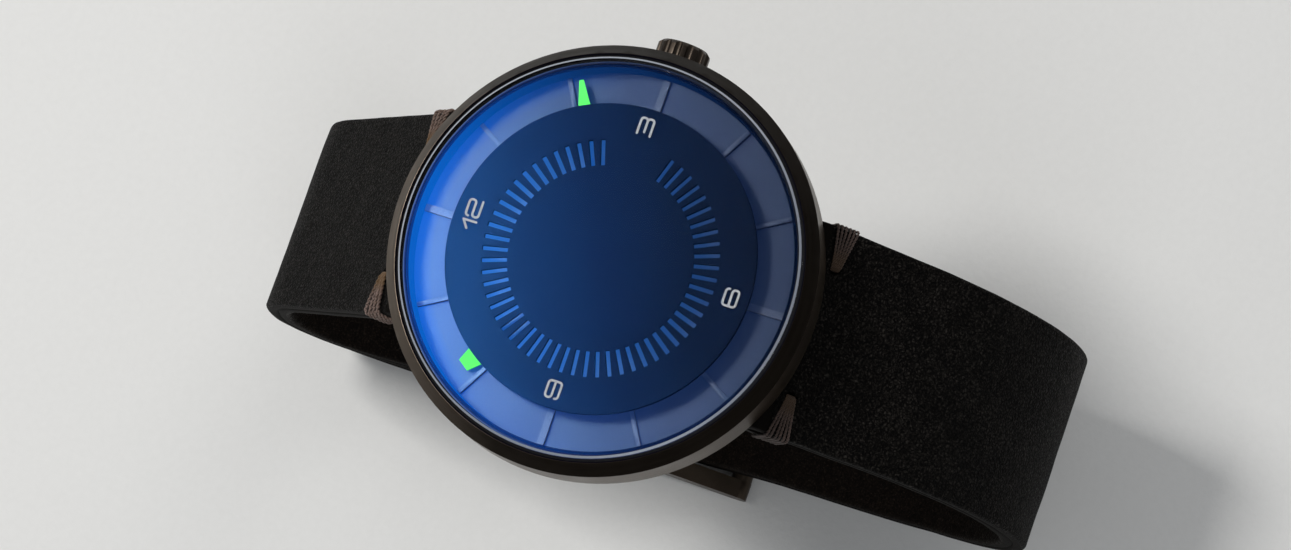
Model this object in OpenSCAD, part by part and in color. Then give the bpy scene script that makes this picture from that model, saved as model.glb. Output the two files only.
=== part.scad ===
// Automatic wristwatch on a closed leather strap, dial up, in millimetres.
// +Z is the dial's normal, +Y points to 12 o'clock and +X to 3 o'clock and the crown.
// The origin is the centre of the case back's outer face. The watch stands on its strap loop below.

/* [Case] */
// Outer diameter of the case
case_d = 40; // [38:0.5:44]
// Height of the dial's face above the surface that the strap stands on
dial_height = 51.5; // [50:0.5:56]
// Height of the case's widest edge above the dial's face
shoulder_z = 1.5; // [0.8:0.1:1.8]
// Height of the lip round the crystal above the dial's face
lip_z = 2.7; // [2.6:0.1:3.3]
// Depth below the dial's face where the flank turns inward
flank_bottom = 1.9; // [1.4:0.1:2.1]
// Depth below the dial's face of the flat that carries the case back
case_floor = 6; // [5.9:0.1:6.4]
// Distance from the case's edge to that flat
floor_inset = 2.8; // [2.6:0.1:3.6]
// Inner diameter of the bore for the movement
movement_bore = 27.2; // [27.2:0.1:28]

/* [Crystal] */
// Distance from the case's edge to the crystal
rim_w = 1.45; // [1.4:0.05:1.8]
// Thickness of the crystal
crystal_t = 1; // [0.9:0.1:1.6]
// Height of the crystal's lower face above the dial's face
crystal_z = 2.1; // [2:0.1:2.4]
// Width of the polished chamfer
crystal_chamfer = 0.2; // [0.15:0.05:0.4]
// Wall of the gasket round the crystal
gasket_wall = 0.22; // [0.2:0.01:0.26]

/* [Dial] */
// Distance from the crystal's edge to the dial's
dial_inset = 0.55; // [0.5:0.05:0.7]
// Thickness of the dial
dial_t = 0.4; // [0.3:0.05:0.45]
// Width of the ring round the dial
flange_w = 0.3; // [0.25:0.05:0.5]
// Length of the hour bars
bar_len = 3.65; // [3:0.05:4.5]
// Height of the hour bars
bar_h = 0.3; // [0.15:0.05:0.35]
// Width of the four main bars
bar_main_w = 0.68; // [0.5:0.02:0.9]
// Width of the other bars
bar_w = 0.44; // [0.3:0.02:0.6]

/* [Centre disc] */
// Width of the dial that shows round the disc below the crystal
ring_w = 3.3; // [2.8:0.1:4]
// Thickness of the disc
disc_t = 0.35; // [0.25:0.05:0.4]
// Layer of clear adhesive between disc and crystal
adhesive = 0.1; // [0.08:0.01:0.15]
// Slots left out beside 3 o'clock
slots_missing = 4; // [2:1:6]
// Distance from the disc's edge to the slots
slot_inset = 3.4; // [3.3:0.1:4]
// Length of a slot
slot_len = 2.4; // [2:0.1:3]
// Width of a slot
slot_w = 0.42; // [0.3:0.02:0.55]
// Distance of the numerals' middle from the disc's edge
numeral_inset = 1.7; // [1.6:0.05:2]
// Width of a digit
digit_w = 1.75; // [1.5:0.05:1.9]
// Height of a digit
digit_h = 1.45; // [1.4:0.05:1.6]
// Width of a digit's stroke
stroke_w = 0.2; // [0.16:0.02:0.24]
// Radius of a digit's corners
corner_r = 0.26; // [0.14:0.02:0.28]

/* [Hands] */
// Minutes past the hour that the hands show
minutes_shown = 10.67; // [0:0.01:59.99]
// Hour that the hands show
hour_shown = 10; // [1:1:12]
// Distance from the minute hand's end to the ring round the dial
minute_short = 0.7; // [0.4:0.1:1.5]
// Width of the minute hand
minute_w = 1.2; // [0.9:0.05:1.5]
// Distance from the hour hand's end to the ring round the dial
hour_short = 1.9; // [1.5:0.1:2.5]
// Width of the hour hand
hour_w = 1.9; // [1.4:0.05:2.2]
// Thickness of both hands
hand_t = 0.22; // [0.15:0.01:0.25]
// Length of the luminous tips that the disc hides
tip_hidden = 0.5; // [0.4:0.1:1]
// Width of the minute hand's end
minute_end_w = 0.4; // [0.3:0.05:0.6]
// Width of the hour hand's end
hour_end_w = 1.26; // [1:0.02:1.5]

/* [Crown] */
// Diameter of the crown
crown_d = 5; // [4.4:0.1:5.6]
// Length of the crown
crown_len = 2.6; // [2.4:0.1:2.8]
// Depth that the crown sits in the case's flank
crown_sink = 1; // [0.8:0.05:1]
// Depth of the stem below the dial's face
stem_depth = 1.7; // [1.6:0.05:1.75]
// Flutes round the crown
crown_flutes = 14; // [10:2:18]
// Travel of the crown from winding to setting
crown_pull = 1.2; // [0.8:0.1:1.2]
// Diameter of the winding stem
stem_d = 1; // [0.8:0.05:1.1]
// Outer diameter of the crown tube
tube_d = 2.2; // [2:0.05:2.3]

/* [Movement] */
// Diameter of the mainplate
plate_d = 25.6; // [25.4:0.1:25.8]
// Depth of the mainplate's lower face below the dial's face
plate_floor = 2.35; // [2.3:0.05:2.4]
// Depth of the bridges' upper face below the dial's face
bridge_top = 3.75; // [3.7:0.05:3.8]
// Thickness of the bridges
bridge_t = 0.8; // [0.7:0.05:0.85]
// Diameter of the rotor
rotor_d = 25; // [24:0.1:25.4]
// Width of the rotor's heavy rim
rotor_rim = 2.4; // [1.8:0.1:2.6]
// Diameter of the balance wheel
balance_d = 8.4; // [7.8:0.1:8.6]
// Diameter of the pivots and thin arbors
arbor_d = 0.5; // [0.4:0.05:0.6]

/* [Case back] */
// Diameter of the case back
back_d = 29.6; // [29.2:0.1:29.7]
// Depth of the case back's outer face below the dial's face
back_depth = 7.4; // [7.3:0.1:7.6]
// Diameter of the window in the case back
window_d = 24; // [21:0.2:24.4]
// Thickness of the window
window_t = 0.8; // [0.7:0.05:0.9]
// Screws in the case back
back_screw_count = 6; // [4:2:6]

/* [Strap] */
// Width of the strap at the case
strap_w = 20; // [18:0.2:20]
// How much narrower the strap is in the buckle
strap_narrows = 2; // [1:0.2:4]
// Thickness of the strap
strap_t = 2.6; // [2.3:0.05:2.8]
// Distance from the case's edge to the strap bars' axis
bar_inset = 2.6; // [2.5:0.05:2.8]
// Depth of the strap bars below the dial's face
bar_depth = 4.7; // [4.6:0.05:4.8]
// Diameter of the strap bars
strap_bar_d = 1.6; // [1.4:0.05:1.7]
// Slope of the 12 o'clock half where it leaves the case
slope_12 = 51; // [49:0.5:53]
// Slope of the 6 o'clock half where it leaves the case
slope_6 = 28; // [27:0.5:30]
// Gap between the two halves where they overlap
overlap_gap = 0.2; // [0.15:0.01:0.25]
// Diameter of the holes in the strap
hole_d = 2.6; // [2.5:0.05:2.8]
// Distance between two holes
hole_pitch = 6; // [5.5:0.1:6]
// Thickness of the sewing thread
thread_d = 0.6; // [0.5:0.05:0.7]
// Distance of the stitches at 12 o'clock from the case's edge, along the strap
stitch_out_12 = 1.4; // [1.2:0.1:2]
// Distance of the stitches at 6 o'clock from the case's edge, along the strap
stitch_out_6 = -0.4; // [-0.4:0.1:0.4]
// Distance between two strands of a stitch at the strap's edge, at 12 o'clock
stitch_fan_12 = 0.7; // [0.5:0.05:0.8]
// Distance between two strands of a stitch at the strap's edge, at 6 o'clock
stitch_fan_6 = 0.52; // [0.4:0.02:0.56]

/* [Buckle] */
// Distance of the buckle's hinge from the dial's axis, towards 12 o'clock
hinge_y = 8; // [7.5:0.1:8.4]
// Distance from the hinge to the far bar
buckle_len = 15.2; // [14.5:0.1:15.6]
// Thickness of the far bar
far_bar_d = 2.2; // [2:0.05:2.2]
// Thickness of the side arms
arm_t = 1.8; // [1.5:0.05:2]
// Diameter of the buckle's spring bar
buckle_bar_d = 1.5; // [1.3:0.05:1.5]
// Width of the tang
tang_w = 1.6; // [1.4:0.05:1.7]
// Thickness of the tang
tang_t = 1; // [0.8:0.05:1]
// Thickness of the keepers' leather
keeper_t = 1.3; // [1.2:0.01:1.3]
// Width of a keeper, along the strap
keeper_w = 4.5; // [4:0.1:4.6]

/* [Hidden] */
$fn = 64;

// Clearances
fit = 0.02;
run_gap = 0.05;
loose = 0.3;
over = 1;

// Case
case_r = case_d / 2;
floor_r = case_r - floor_inset;
crystal_r = case_r - rim_w;
crystal_top = crystal_z + crystal_t;
crystal_bore_r = crystal_r + fit + gasket_wall + fit;
gasket_foot = 0.1;
ledge_z = crystal_z - gasket_foot;
dial_r = crystal_r - dial_inset;
flange_r = dial_r - flange_w;
flange_lean = 0.08;
dial_bore_r = dial_r + run_gap;
lip_w = 0.15;
crown_recess = crown_sink + 0.1;
back_thread = 1.6;
back_seat = case_floor;

// Centre disc, hands
disc_r = flange_r - ring_w;
disc_top = crystal_z - adhesive;
disc_bottom = disc_top - disc_t;
numeral_t = adhesive - fit;
slot_places = 60;
slot_end = disc_r - slot_inset;
numeral_r = disc_r - numeral_inset;
digit_gap = 0.1;
hook_drop = 0.03;
bar_end = flange_r - run_gap;
minute_len = flange_r - minute_short;
hour_len = flange_r - hour_short;
tip_start = disc_r - tip_hidden;
hour_shoulder = disc_r;
minute_shoulder = disc_r - 0.2;
hour_hub_r = 1.5;
minute_hub_r = 1.2;
hour_hand_z = 0.5;
minute_hand_z = 1;
hour_pipe_r = 0.9;
hour_pipe_bore = 0.68;
cannon_r = 0.62;
minute_bore_r = 0.3;
dial_hole_r = hour_pipe_r + run_gap * 2;
centre_post_r = 0.13;
minute_post_r = 0.18;
minute_angle = -6 * minutes_shown;
hour_angle = -30 * (hour_shown + minutes_shown / 60);

// Movement
plate_r = plate_d / 2;
dial_seat = dial_t + run_gap;
works_top = dial_seat + 0.05;
works_floor = dial_seat + 0.75;
bridge_bottom = bridge_top + bridge_t;

// Levels of the works, as depths of their upper and lower faces below the dial's face
hour_level = [works_top + 0.05, works_top + 0.25];
minute_leaves = [works_top + 0.05, works_floor - 0.1];
minute_level = [works_floor - 0.3, works_floor - 0.1];
cannon_level = [works_floor - 0.35, works_floor - run_gap];
arbor_level = [plate_floor + 0.03, bridge_top - 0.03];
centre_level = [plate_floor + 0.07, plate_floor + 0.25];
centre_leaves = [plate_floor + 0.35, plate_floor + 0.85];
third_leaves = [plate_floor + 0.05, plate_floor + 0.31];
third_level = [bridge_top - 0.47, bridge_top - 0.29];
fourth_level = [plate_floor + 0.45, plate_floor + 0.63];
fourth_leaves = [bridge_top - 0.55, bridge_top - 0.2];
escape_leaves = [plate_floor + 0.37, plate_floor + 0.71];
escape_level = [bridge_top - 0.5, bridge_top - 0.32];
fork_level = [bridge_top - 0.69, bridge_top - 0.55];
barrel_level = [plate_floor + 0.45, bridge_top - 0.05];
barrel_gear_level = [plate_floor + 0.45, plate_floor + 0.8];
spring_level = [bridge_top - 0.75, bridge_top - 0.25];
balance_level = [bridge_top, bridge_top + 0.35];
roller_level = [bridge_top - 0.5, bridge_top - 0.3];
hairspring_level = [bridge_top + 0.51, bridge_top + 0.65];
ratchet_level = [bridge_bottom + fit, bridge_bottom + 0.33];
reduction_leaves = [bridge_bottom + fit, bridge_bottom + 0.42];
reduction_level = [bridge_bottom + 0.42, bridge_bottom + 0.65];
rotor_gear_level = [bridge_bottom + 0.45, bridge_bottom + 0.75];

// Screws, stones and bearings of the movement
screw_head_r = 0.68;
screw_head_t = 0.28;
screw_shank_r = 0.34;
screw_pocket = 0.3;
small_head_r = 0.5;
small_head_t = 0.2;
small_shank_r = 0.28;
jewel_r = 0.43;
jewel_hole_r = jewel_r + fit;
jewel_top = plate_floor - 0.4;
pivot_r = arbor_d / 4;
arbor_r = arbor_d / 2;
hub_r = 0.9;
arm_w = 0.4;
barrel_at = [-3.73, 5.32];
third_at = [4.48, 0.39];
fourth_at = [5.47, -3.3];
escape_at = [2.68, -5.64];
pallet_at = [0.02, -6.35];
balance_at = [-2.97, -7.15];
minute_wheel_at = [1.6, 2.75];
barrel_teeth = 72;
centre_pinion_teeth = 12;
centre_teeth = 80;
third_pinion_teeth = 10;
third_teeth = 75;
fourth_pinion_teeth = 10;
fourth_teeth = 84;
escape_pinion_teeth = 7;
barrel_m = 2 * norm(barrel_at) / (barrel_teeth + centre_pinion_teeth);
centre_m = 2 * norm(third_at) / (centre_teeth + third_pinion_teeth);
third_m = 2 * norm(fourth_at - third_at) / (third_teeth + fourth_pinion_teeth);
fourth_m = 2 * norm(escape_at - fourth_at) / (fourth_teeth + escape_pinion_teeth);
cannon_teeth = 12;
minute_wheel_teeth = 36;
minute_pinion_teeth = 10;
hour_wheel_teeth = 40;
cannon_m = 2 * norm(minute_wheel_at) / (cannon_teeth + minute_wheel_teeth);
hour_m = 2 * norm(minute_wheel_at) / (minute_pinion_teeth + hour_wheel_teeth);
centre = [0, 0];
ratchet_teeth = 42;
ratchet_m = 0.135;
reduction_pinion_teeth = 10;
reduction_teeth = 34;
rotor_gear_teeth = 40;
auto_m = 0.11;
to_ratchet = ratchet_m * (ratchet_teeth + reduction_pinion_teeth) / 2;
to_rotor = auto_m * (rotor_gear_teeth + reduction_teeth) / 2;

// Point at distance ra from the centre and rb from point b, on the right of the line to b
function crossing(ra, rb, b) = let (d = norm(b), along = (ra * ra - rb * rb + d * d) / (2 * d))
    along * b / d + sqrt(ra * ra - along * along) * [b[1], -b[0]] / d;

reduction_at = crossing(to_rotor, to_ratchet, barrel_at);
click_at = barrel_at + 4.1 * [cos(150), sin(150)];
barrel_turn = mesh_turn(centre, centre_pinion_teeth, 0, barrel_at, barrel_teeth);
third_turn = mesh_turn(centre, centre_teeth, 0, third_at, third_pinion_teeth);
fourth_turn = mesh_turn(third_at, third_teeth, third_turn, fourth_at, fourth_pinion_teeth);
escape_turn = mesh_turn(fourth_at, fourth_teeth, fourth_turn, escape_at, escape_pinion_teeth);
minute_wheel_turn = mesh_turn(centre, cannon_teeth, minute_angle, minute_wheel_at, minute_wheel_teeth);
hour_wheel_turn = mesh_turn(minute_wheel_at, minute_pinion_teeth, minute_wheel_turn,
    centre, hour_wheel_teeth);
reduction_turn = mesh_turn(centre, rotor_gear_teeth, 0, reduction_at, reduction_teeth);
ratchet_turn = mesh_turn(reduction_at, reduction_pinion_teeth, reduction_turn, barrel_at, ratchet_teeth);
escape_r = 2.1;
barrel_post_r = 0.6;
balance_r = balance_d / 2;
rotor_r = rotor_d / 2;
rotor_top = rotor_gear_level[1];
rotor_plate_r = 3.15;
rotor_bore_r = 2;
rotor_plate_t = 0.35;
rotor_post_r = 0.85;
rotor_t = 0.3;
race_out = 1.5;
race_in = 1.15;
ball_count = 7;
rim_t = 0.75;
cock_top = bridge_top + 0.75;
cock_t = 0.6;

// Crown
stem_r = stem_d / 2;
tube_r = tube_d / 2;
crown_r = crown_d / 2;
tube_bore_r = stem_r + run_gap;
crown_start = case_r - crown_sink;
crown_end = crown_start + crown_len;
crown_cap = 0.5;
flute_r = 0.37;
flute_out = 0.12;
o_ring_wall = 0.3;
o_ring_len = 0.5;
stem_neck = 0.1;
stem_end_depth = 0.3;
tube_start = movement_bore / 2 + 0.4;
tube_end = crown_end - crown_cap - 0.1;
setting_arm = 2.6;
lever_pocket = 0.95;
groove_x = 10.3;
groove_w = 0.6;
groove_depth = 0.2;
stem_start = 5.3;
stem_gear_m = 0.12;
stem_gear_teeth = 14;
stem_pocket = stem_gear_m * (stem_gear_teeth + 2.4);
sliding_x = 5.9;
sliding_len = 1.3;
winding_x = 7.6;
pinions_end = winding_x + 0.9;

// Case back
back_r = back_d / 2;
window_r = window_d / 2;
window_top = back_depth - window_t;
window_ledge = 0.8;
back_inside = back_seat + 0.3;
back_bore_r = 13.2;
back_shank_r = 0.38;
back_head_r = 0.75;
back_screw_spread = 114;
back_screw_step = 2 * back_screw_spread / back_screw_count;
gasket_w = 0.5;

// Strap
strap_w_buckle = strap_w - strap_narrows;
bar_y = case_r - bar_inset;
bar_loop_r = 2.2;
slot_y = bar_y - bar_loop_r - loose;
slot_half = strap_w / 2 + loose;
slot_roof = bar_depth - bar_loop_r - loose;
lug_half = 3.9;
lug_r = bar_loop_r - loose;
strand_pitch = 0.2;
stitch_inset = 4;
bar_z = dial_height - bar_depth;
overlap_step = strap_t + overlap_gap;
outer_level = keeper_t + overlap_gap;
inner_level = outer_level + overlap_step;
reach_12 = 35.9;
shoulder_r_12 = 18;
fold_out = 4;
fold_y = reach_12 + fold_out;
flat_6 = 2;
reach_6 = 27.1;
shoulder_r_6 = 24;
bend_len = 13;
bend_end = -1;
tail_angle = 58;
holes_behind = 2;
holes_ahead = 4;
arc_steps = 10;
hinge_r = 1.35;
hinge_z = inner_level + strap_t / 2;
hole_from_hinge = 2.1;
used_hole_y = hinge_y - hole_from_hinge;
tang_slot = 3;
taper_end = 60;
far_y = hinge_y - buckle_len;
far_z = far_bar_d / 2;
keeper_gap = 0.15;
buckle_in = strap_w_buckle / 2 + 0.35;
buckle_pin_d = 0.8;
buckle_pin_reach = 0.7;

// Start of a half's outer face: [distance from the dial's axis, height, heading]
function strap_start(slope) = [bar_y + bar_loop_r * sin(slope), bar_z + bar_loop_r * cos(slope), -slope];

// End of a run [length or radius, turn] that starts at state s; a turn of 0 is a straight run
function run_end(s, run, part = 1) = run[1] == 0
    ? [s[0] + run[0] * part * cos(s[2]), s[1] + run[0] * part * sin(s[2]), s[2]]
    : let (side = sign(run[1]), heading = s[2] + run[1] * part)
        [s[0] + run[0] * side * (sin(heading) - sin(s[2])),
         s[1] - run[0] * side * (cos(heading) - cos(s[2])), heading];

// States along one run, without its start
function run_states(s, run) = run[1] == 0
    ? [run_end(s, run)]
    : [for (i = [1:arc_steps]) run_end(s, run, i / arc_steps)];

// States along all runs
function path_states(s, runs, i = 0) = i == len(runs)
    ? []
    : concat(run_states(s, runs[i]), path_states(run_end(s, runs[i]), runs, i + 1));

// State after the first n runs
function state_after(s, runs, n, i = 0) = i == n ? s : state_after(run_end(s, runs[i]), runs, n, i + 1);

// A state's point moved inward by d
function inset(s, d) = [s[0] + d * sin(s[2]), s[1] - d * cos(s[2])];

start_12 = strap_start(slope_12);
straight_12 = (reach_12 - start_12[0]) / cos(slope_12);
mid_12 = run_end(run_end(start_12, [straight_12, 0]), [shoulder_r_12, slope_12 - 90]);
fold_r_12 = mid_12[1] - inner_level;
flat_start_12 = mid_12[0] - fold_r_12;
runs_12 = [[straight_12, 0], [shoulder_r_12, slope_12 - 90], [fold_r_12, -90],
    [flat_start_12 - hinge_y, 0]];

start_6 = strap_start(slope_6);
straight_6 = (reach_6 - start_6[0]) / cos(slope_6);
mid_6 = run_end(run_end(start_6, [straight_6, 0]), [shoulder_r_6, slope_6 - 90]);
fold_r_6 = mid_6[1] - inner_level;
bend_angle = 2 * atan(overlap_step / bend_len);
bend_r = bend_len / (2 * sin(bend_angle));
tail_r = mid_12[1] - outer_level;
runs_6 = [[straight_6, 0], [shoulder_r_6, slope_6 - 90], [fold_r_6, -90],
    [mid_6[0] - fold_r_6 - bend_end - bend_len - flat_6, 0],
    [bend_r, bend_angle], [bend_r, -bend_angle],
    [bend_end + flat_6 + flat_start_12, 0], [tail_r, -tail_angle]];
tail_tip = state_after(start_6, runs_6, len(runs_6));

// Children placed in the head, whose zero height is the dial's face
module head() {
    translate([0, 0, back_depth]) children();
}

// Children placed in the strap loop, whose zero height is the surface that it stands on
module loop() {
    translate([0, 0, back_depth - dial_height]) children();
}

// Disc between two depths below the dial's face
module slab(r, top, bottom) {
    translate([0, 0, -bottom]) cylinder(r = r, h = bottom - top);
}

// Ring between two depths below the dial's face
module ring(r_out, r_in, top, bottom) {
    difference() {
        slab(r_out, top, bottom);
        slab(r_in, top - over, bottom + over);
    }
}

// Pieces turned from a profile of [radius, height] points
module turned(points) {
    rotate_extrude() polygon(points);
}

// Outline of a spur gear with straight flanks
module gear_outline(teeth, m) {
    r = teeth * m / 2;
    step = 360 / teeth;
    tip = r + 0.8 * m;
    root = r - 1.0 * m;
    polygon([for (i = [0:teeth - 1], k = [[-0.3, root], [-0.14, tip], [0.14, tip], [0.3, root]])
        [k[1] * cos((i + k[0]) * step), k[1] * sin((i + k[0]) * step)]]);
}

// Outline raised between the two depths of a level
module layer(level) {
    translate([0, 0, -level[1]]) linear_extrude(level[1] - level[0]) children();
}

// Gear wheel with a crossed-out web
module wheel(teeth, m, level, arms = 4) {
    rim = teeth * m / 2 - 4 * m;
    layer(level) difference() {
        gear_outline(teeth, m);
        circle(r = arbor_r - fit);
        difference() {
            circle(r = rim);
            circle(r = hub_r);
            for (i = [0:arms - 1]) rotate(i * 360 / arms)
                translate([0, -arm_w / 2]) square([rim + over, arm_w]);
        }
    }
}

module pinion(teeth, m, level) {
    layer(level) gear_outline(teeth, m);
}

// Arbor with thinner pivots above and below
module arbor(pivot = 0.25) {
    slab(arbor_r, arbor_level[0], arbor_level[1]);
    slab(pivot_r, arbor_level[0] - pivot, arbor_level[1] + pivot);
}

// Slotted screw head with its shank below the dial, head face at a depth
module screw(head_r, shank_r, head_depth, head_t, shank_len) {
    difference() {
        slab(head_r, head_depth - head_t, head_depth);
        translate([-head_r - over, -head_r * 0.12, -head_depth - over])
            cube([2 * (head_r + over), head_r * 0.24, over + head_t * 0.5]);
    }
    slab(shank_r, head_depth - head_t - shank_len, head_depth - head_t);
}

// Turn of gear b at which its gaps meet the teeth of gear a
function mesh_turn(at_a, teeth_a, turn_a, at_b, teeth_b) =
    let (line = atan2(at_b[1] - at_a[1], at_b[0] - at_a[0]), share = (line - turn_a) * teeth_a / 360)
    line + 180 - (0.5 - share) * 360 / teeth_b;

// Stroke through a list of points, with round joints
module stroke(points) {
    for (p = points) translate(p) circle(d = stroke_w, $fn = 20);
    for (i = [0:len(points) - 2]) {
        a = points[i];
        b = points[i + 1];
        translate(a) rotate(atan2(b[1] - a[1], b[0] - a[0]))
            translate([0, -stroke_w / 2]) square([norm(b - a), stroke_w]);
    }
}

// Points round a digit's corner about a centre, from one direction to another
function bend(at, from, to) = [for (k = [0:3]) at + corner_r * [cos(from + k * (to - from) / 3),
    sin(from + k * (to - from) / 3)]];

// Digits drawn in a box centred on the origin
module digit(n) {
    x = digit_w / 2 - stroke_w / 2;
    y = digit_h / 2 - stroke_w / 2;
    a = x - corner_r;
    b = y - corner_r;
    c = corner_r;
    hook = c + hook_drop;
    if (n == 1) stroke([[-x * 0.1, y * 0.15], [x * 0.85, y], [x * 0.85, -y]]);
    if (n == 2) stroke(concat([[-x, y - hook]], bend([-a, b], 180, 90), bend([a, b], 90, 0),
        bend([a, c], 0, -90), bend([-a, -c], 90, 180), bend([-a, -b], 180, 270), [[x, -y]]));
    if (n == 3) stroke(concat([[-x, y]], bend([a, b], 90, 0), bend([a, c], 0, -90), [[-a, 0]],
        bend([a, -c], 90, 0), bend([a, -b], 0, -90), [[-x, -y]]));
    if (n == 6) stroke(concat([[x, y - hook]], bend([a, b], 0, 90), bend([-a, b], 90, 180),
        bend([-a, -b], 180, 270), bend([a, -b], 270, 360), bend([a, -c], 0, 90), [[-x, 0]]));
    if (n == 9) rotate(180) digit(6);
}

// A number upright with 12 o'clock at the top
module number(digits) {
    pitch = digit_w + digit_gap;
    for (i = [0:len(digits) - 1])
        translate([(i - (len(digits) - 1) / 2) * pitch, 0]) digit(digits[i]);
}

// Places children on the slope of a strap half, at a distance along its outer face
module on_strap(start, along) {
    translate([0, start[0] + along * cos(start[2]), start[1] + along * sin(start[2])])
        rotate([start[2], 0, 0]) children();
}

// Solid of a strap half from its runs, as wide as w
module strap_body(start, runs, w) {
    states = concat([start], path_states(start, runs));
    outer = [for (s = states) [s[0], s[1]]];
    inner = [for (i = [len(states) - 1:-1:0]) inset(states[i], strap_t)];
    translate([-w / 2, 0, 0]) rotate([90, 0, 90]) linear_extrude(w) polygon(concat(outer, inner));
}

// Prism that narrows the strap, from its width at the case to the fold and on to the buckle
module strap_taper(split_z) {
    tail = -taper_end;
    w_fold = strap_w / 2 - (strap_w - strap_w_buckle) / 5;
    w_end = strap_w_buckle / 2;
    y_out = fold_y + fold_out;
    translate([0, 0, split_z]) linear_extrude(dial_height - split_z)
        polygon([[-strap_w / 2, 0], [-strap_w / 2, bar_y], [-w_fold, fold_y], [-w_fold, y_out],
            [w_fold, y_out], [w_fold, fold_y], [strap_w / 2, bar_y], [strap_w / 2, 0]]);
    translate([0, 0, -over]) linear_extrude(split_z + over)
        polygon([[-w_fold, y_out], [-w_fold, fold_y], [-w_end, flat_start_12], [-w_end, tail],
            [w_end, tail], [w_end, flat_start_12], [w_fold, fold_y], [w_fold, y_out]]);
}

// Eye of a strap half round its bar, left open for the lug
module strap_eye() {
    translate([-strap_w / 2, bar_y, bar_z]) rotate([0, 90, 0]) cylinder(r = bar_loop_r, h = strap_w);
}

module eye_cuts() {
    translate([-strap_w / 2 - over, bar_y, bar_z]) rotate([0, 90, 0])
        cylinder(d = strap_bar_d + 2 * run_gap, h = strap_w + 2 * over);
    translate([-lug_half - loose, bar_y, bar_z]) rotate([0, 90, 0])
        cylinder(r = bar_loop_r + run_gap, h = 2 * (lug_half + loose));
}

// Depth of the strap half's inner side below its outer face, at a distance from the bar
function strap_depth(s) =
    max(strap_t, s < bar_loop_r ? bar_loop_r + sqrt(bar_loop_r * bar_loop_r - s * s) : 0);

// One side stitch: strands that fan from a hole to the edge and round it
module side_stitch(start, side, out, fan) {
    strands = 4;
    hole_x = strap_w / 2 - stitch_inset;
    edge_x = strap_w / 2 + thread_d / 2;
    along = (case_r - start[0]) / cos(start[2]) + out;
    on_strap(start, along) for (i = [0:strands - 1]) {
        spread = (i - (strands - 1) / 2);
        dx = edge_x - hole_x;
        dy = spread * (fan - strand_pitch);
        nearest = along + min(spread * strand_pitch, spread * fan) - thread_d / 2;
        depth = strap_depth(nearest);
        for (face = [thread_d / 2, -depth - thread_d / 2])
            translate([side * hole_x, spread * strand_pitch, face])
                rotate([0, 90, atan2(dy, side * dx)]) cylinder(d = thread_d, h = norm([dx, dy]), $fn = 8);
        translate([side * edge_x, spread * fan, -depth - thread_d / 2])
            cylinder(d = thread_d, h = depth + thread_d, $fn = 8);
    }
}

// Rounded rectangle made of true arcs
module rounded(w, h, r) {
    translate([-w / 2 + r, -h / 2]) square([w - 2 * r, h]);
    translate([-w / 2, -h / 2 + r]) square([w, h - 2 * r]);
    for (x = [-w / 2 + r, w / 2 - r], y = [-h / 2 + r, h / 2 - r]) translate([x, y]) circle(r = r);
}

// Leather band round both strap halves, from y to y + keeper_w
module keeper_band(y) {
    inner_w = strap_w_buckle + 2 * loose;
    bottom = outer_level - keeper_gap;
    top = inner_level + strap_t + keeper_gap;
    inner_h = top - bottom;
    mid = (top + bottom) / 2;
    translate([0, y + keeper_w, mid]) rotate([90, 0, 0]) linear_extrude(keeper_w) difference() {
        rounded(inner_w + 2 * (keeper_t - 0.05), inner_h + 2 * (keeper_t + overlap_gap - keeper_gap), 1.8);
        rounded(inner_w, inner_h, 0.2);
    }
}

// Children placed at each screw of the case back
module at_back_screws() {
    per_side = back_screw_count / 2;
    for (side = [0, 180], i = [0:per_side - 1])
        rotate(side + (i - (per_side - 1) / 2) * back_screw_step) translate([back_r + 0.3, 0, 0]) children();
}

// Case

module case_middle() {
    color("#6f665a") head() difference() {
        union() {
            difference() {
                turned([[0, lip_z], [crystal_bore_r + lip_w, lip_z], [case_r, shoulder_z],
                    [case_r, -flank_bottom], [floor_r, -case_floor], [0, -case_floor]]);
                for (s = [0, 180]) rotate(s) translate([-slot_half, slot_y, -case_floor - over])
                    cube([2 * slot_half, case_r, case_floor - slot_roof + over]);
            }
            for (s = [0, 180]) rotate(s) {
                translate([-lug_half, slot_y - over, -case_floor])
                    cube([2 * lug_half, bar_y - slot_y + over, case_floor - slot_roof + over / 2]);
                translate([-lug_half, bar_y, -bar_depth]) rotate([0, 90, 0])
                    cylinder(r = lug_r, h = 2 * lug_half);
            }
        }
        slab(crystal_bore_r, -lip_z - over, -ledge_z);
        slab(dial_bore_r, -ledge_z - over, dial_t);
        slab(movement_bore / 2, 0, back_depth + over);
        slab(back_bore_r + gasket_w, back_seat - gasket_w, back_depth + over);
        for (s = [0, 180]) rotate(s) translate([-case_r, bar_y, -bar_depth]) rotate([0, 90, 0])
            cylinder(d = strap_bar_d + 2 * fit, h = case_d);
        translate([0, 0, -stem_depth]) rotate([0, 90, 0]) cylinder(r = tube_r + fit, h = case_r + over);
        translate([case_r - crown_recess, 0, -stem_depth]) rotate([0, 90, 0])
            cylinder(r = crown_r + loose, h = crown_recess + over);
        at_back_screws() slab(back_shank_r + fit, case_floor - back_thread, case_floor + over);
    }
}

module crystal() {
    color([0.85, 0.92, 1, 0.35]) head() turned([[0, crystal_z], [crystal_r, crystal_z],
        [crystal_r, crystal_top - crystal_chamfer], [crystal_r - crystal_chamfer, crystal_top],
        [0, crystal_top]]);
}

module crystal_gasket() {
    r_in = crystal_r + fit;
    foot_r = dial_bore_r + fit;
    color("#161616") head() turned([[foot_r, ledge_z], [r_in + gasket_wall, ledge_z],
        [r_in + gasket_wall, lip_z - gasket_foot], [r_in, lip_z - gasket_foot], [r_in, crystal_z - fit],
        [foot_r, crystal_z - fit]]);
}

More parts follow.
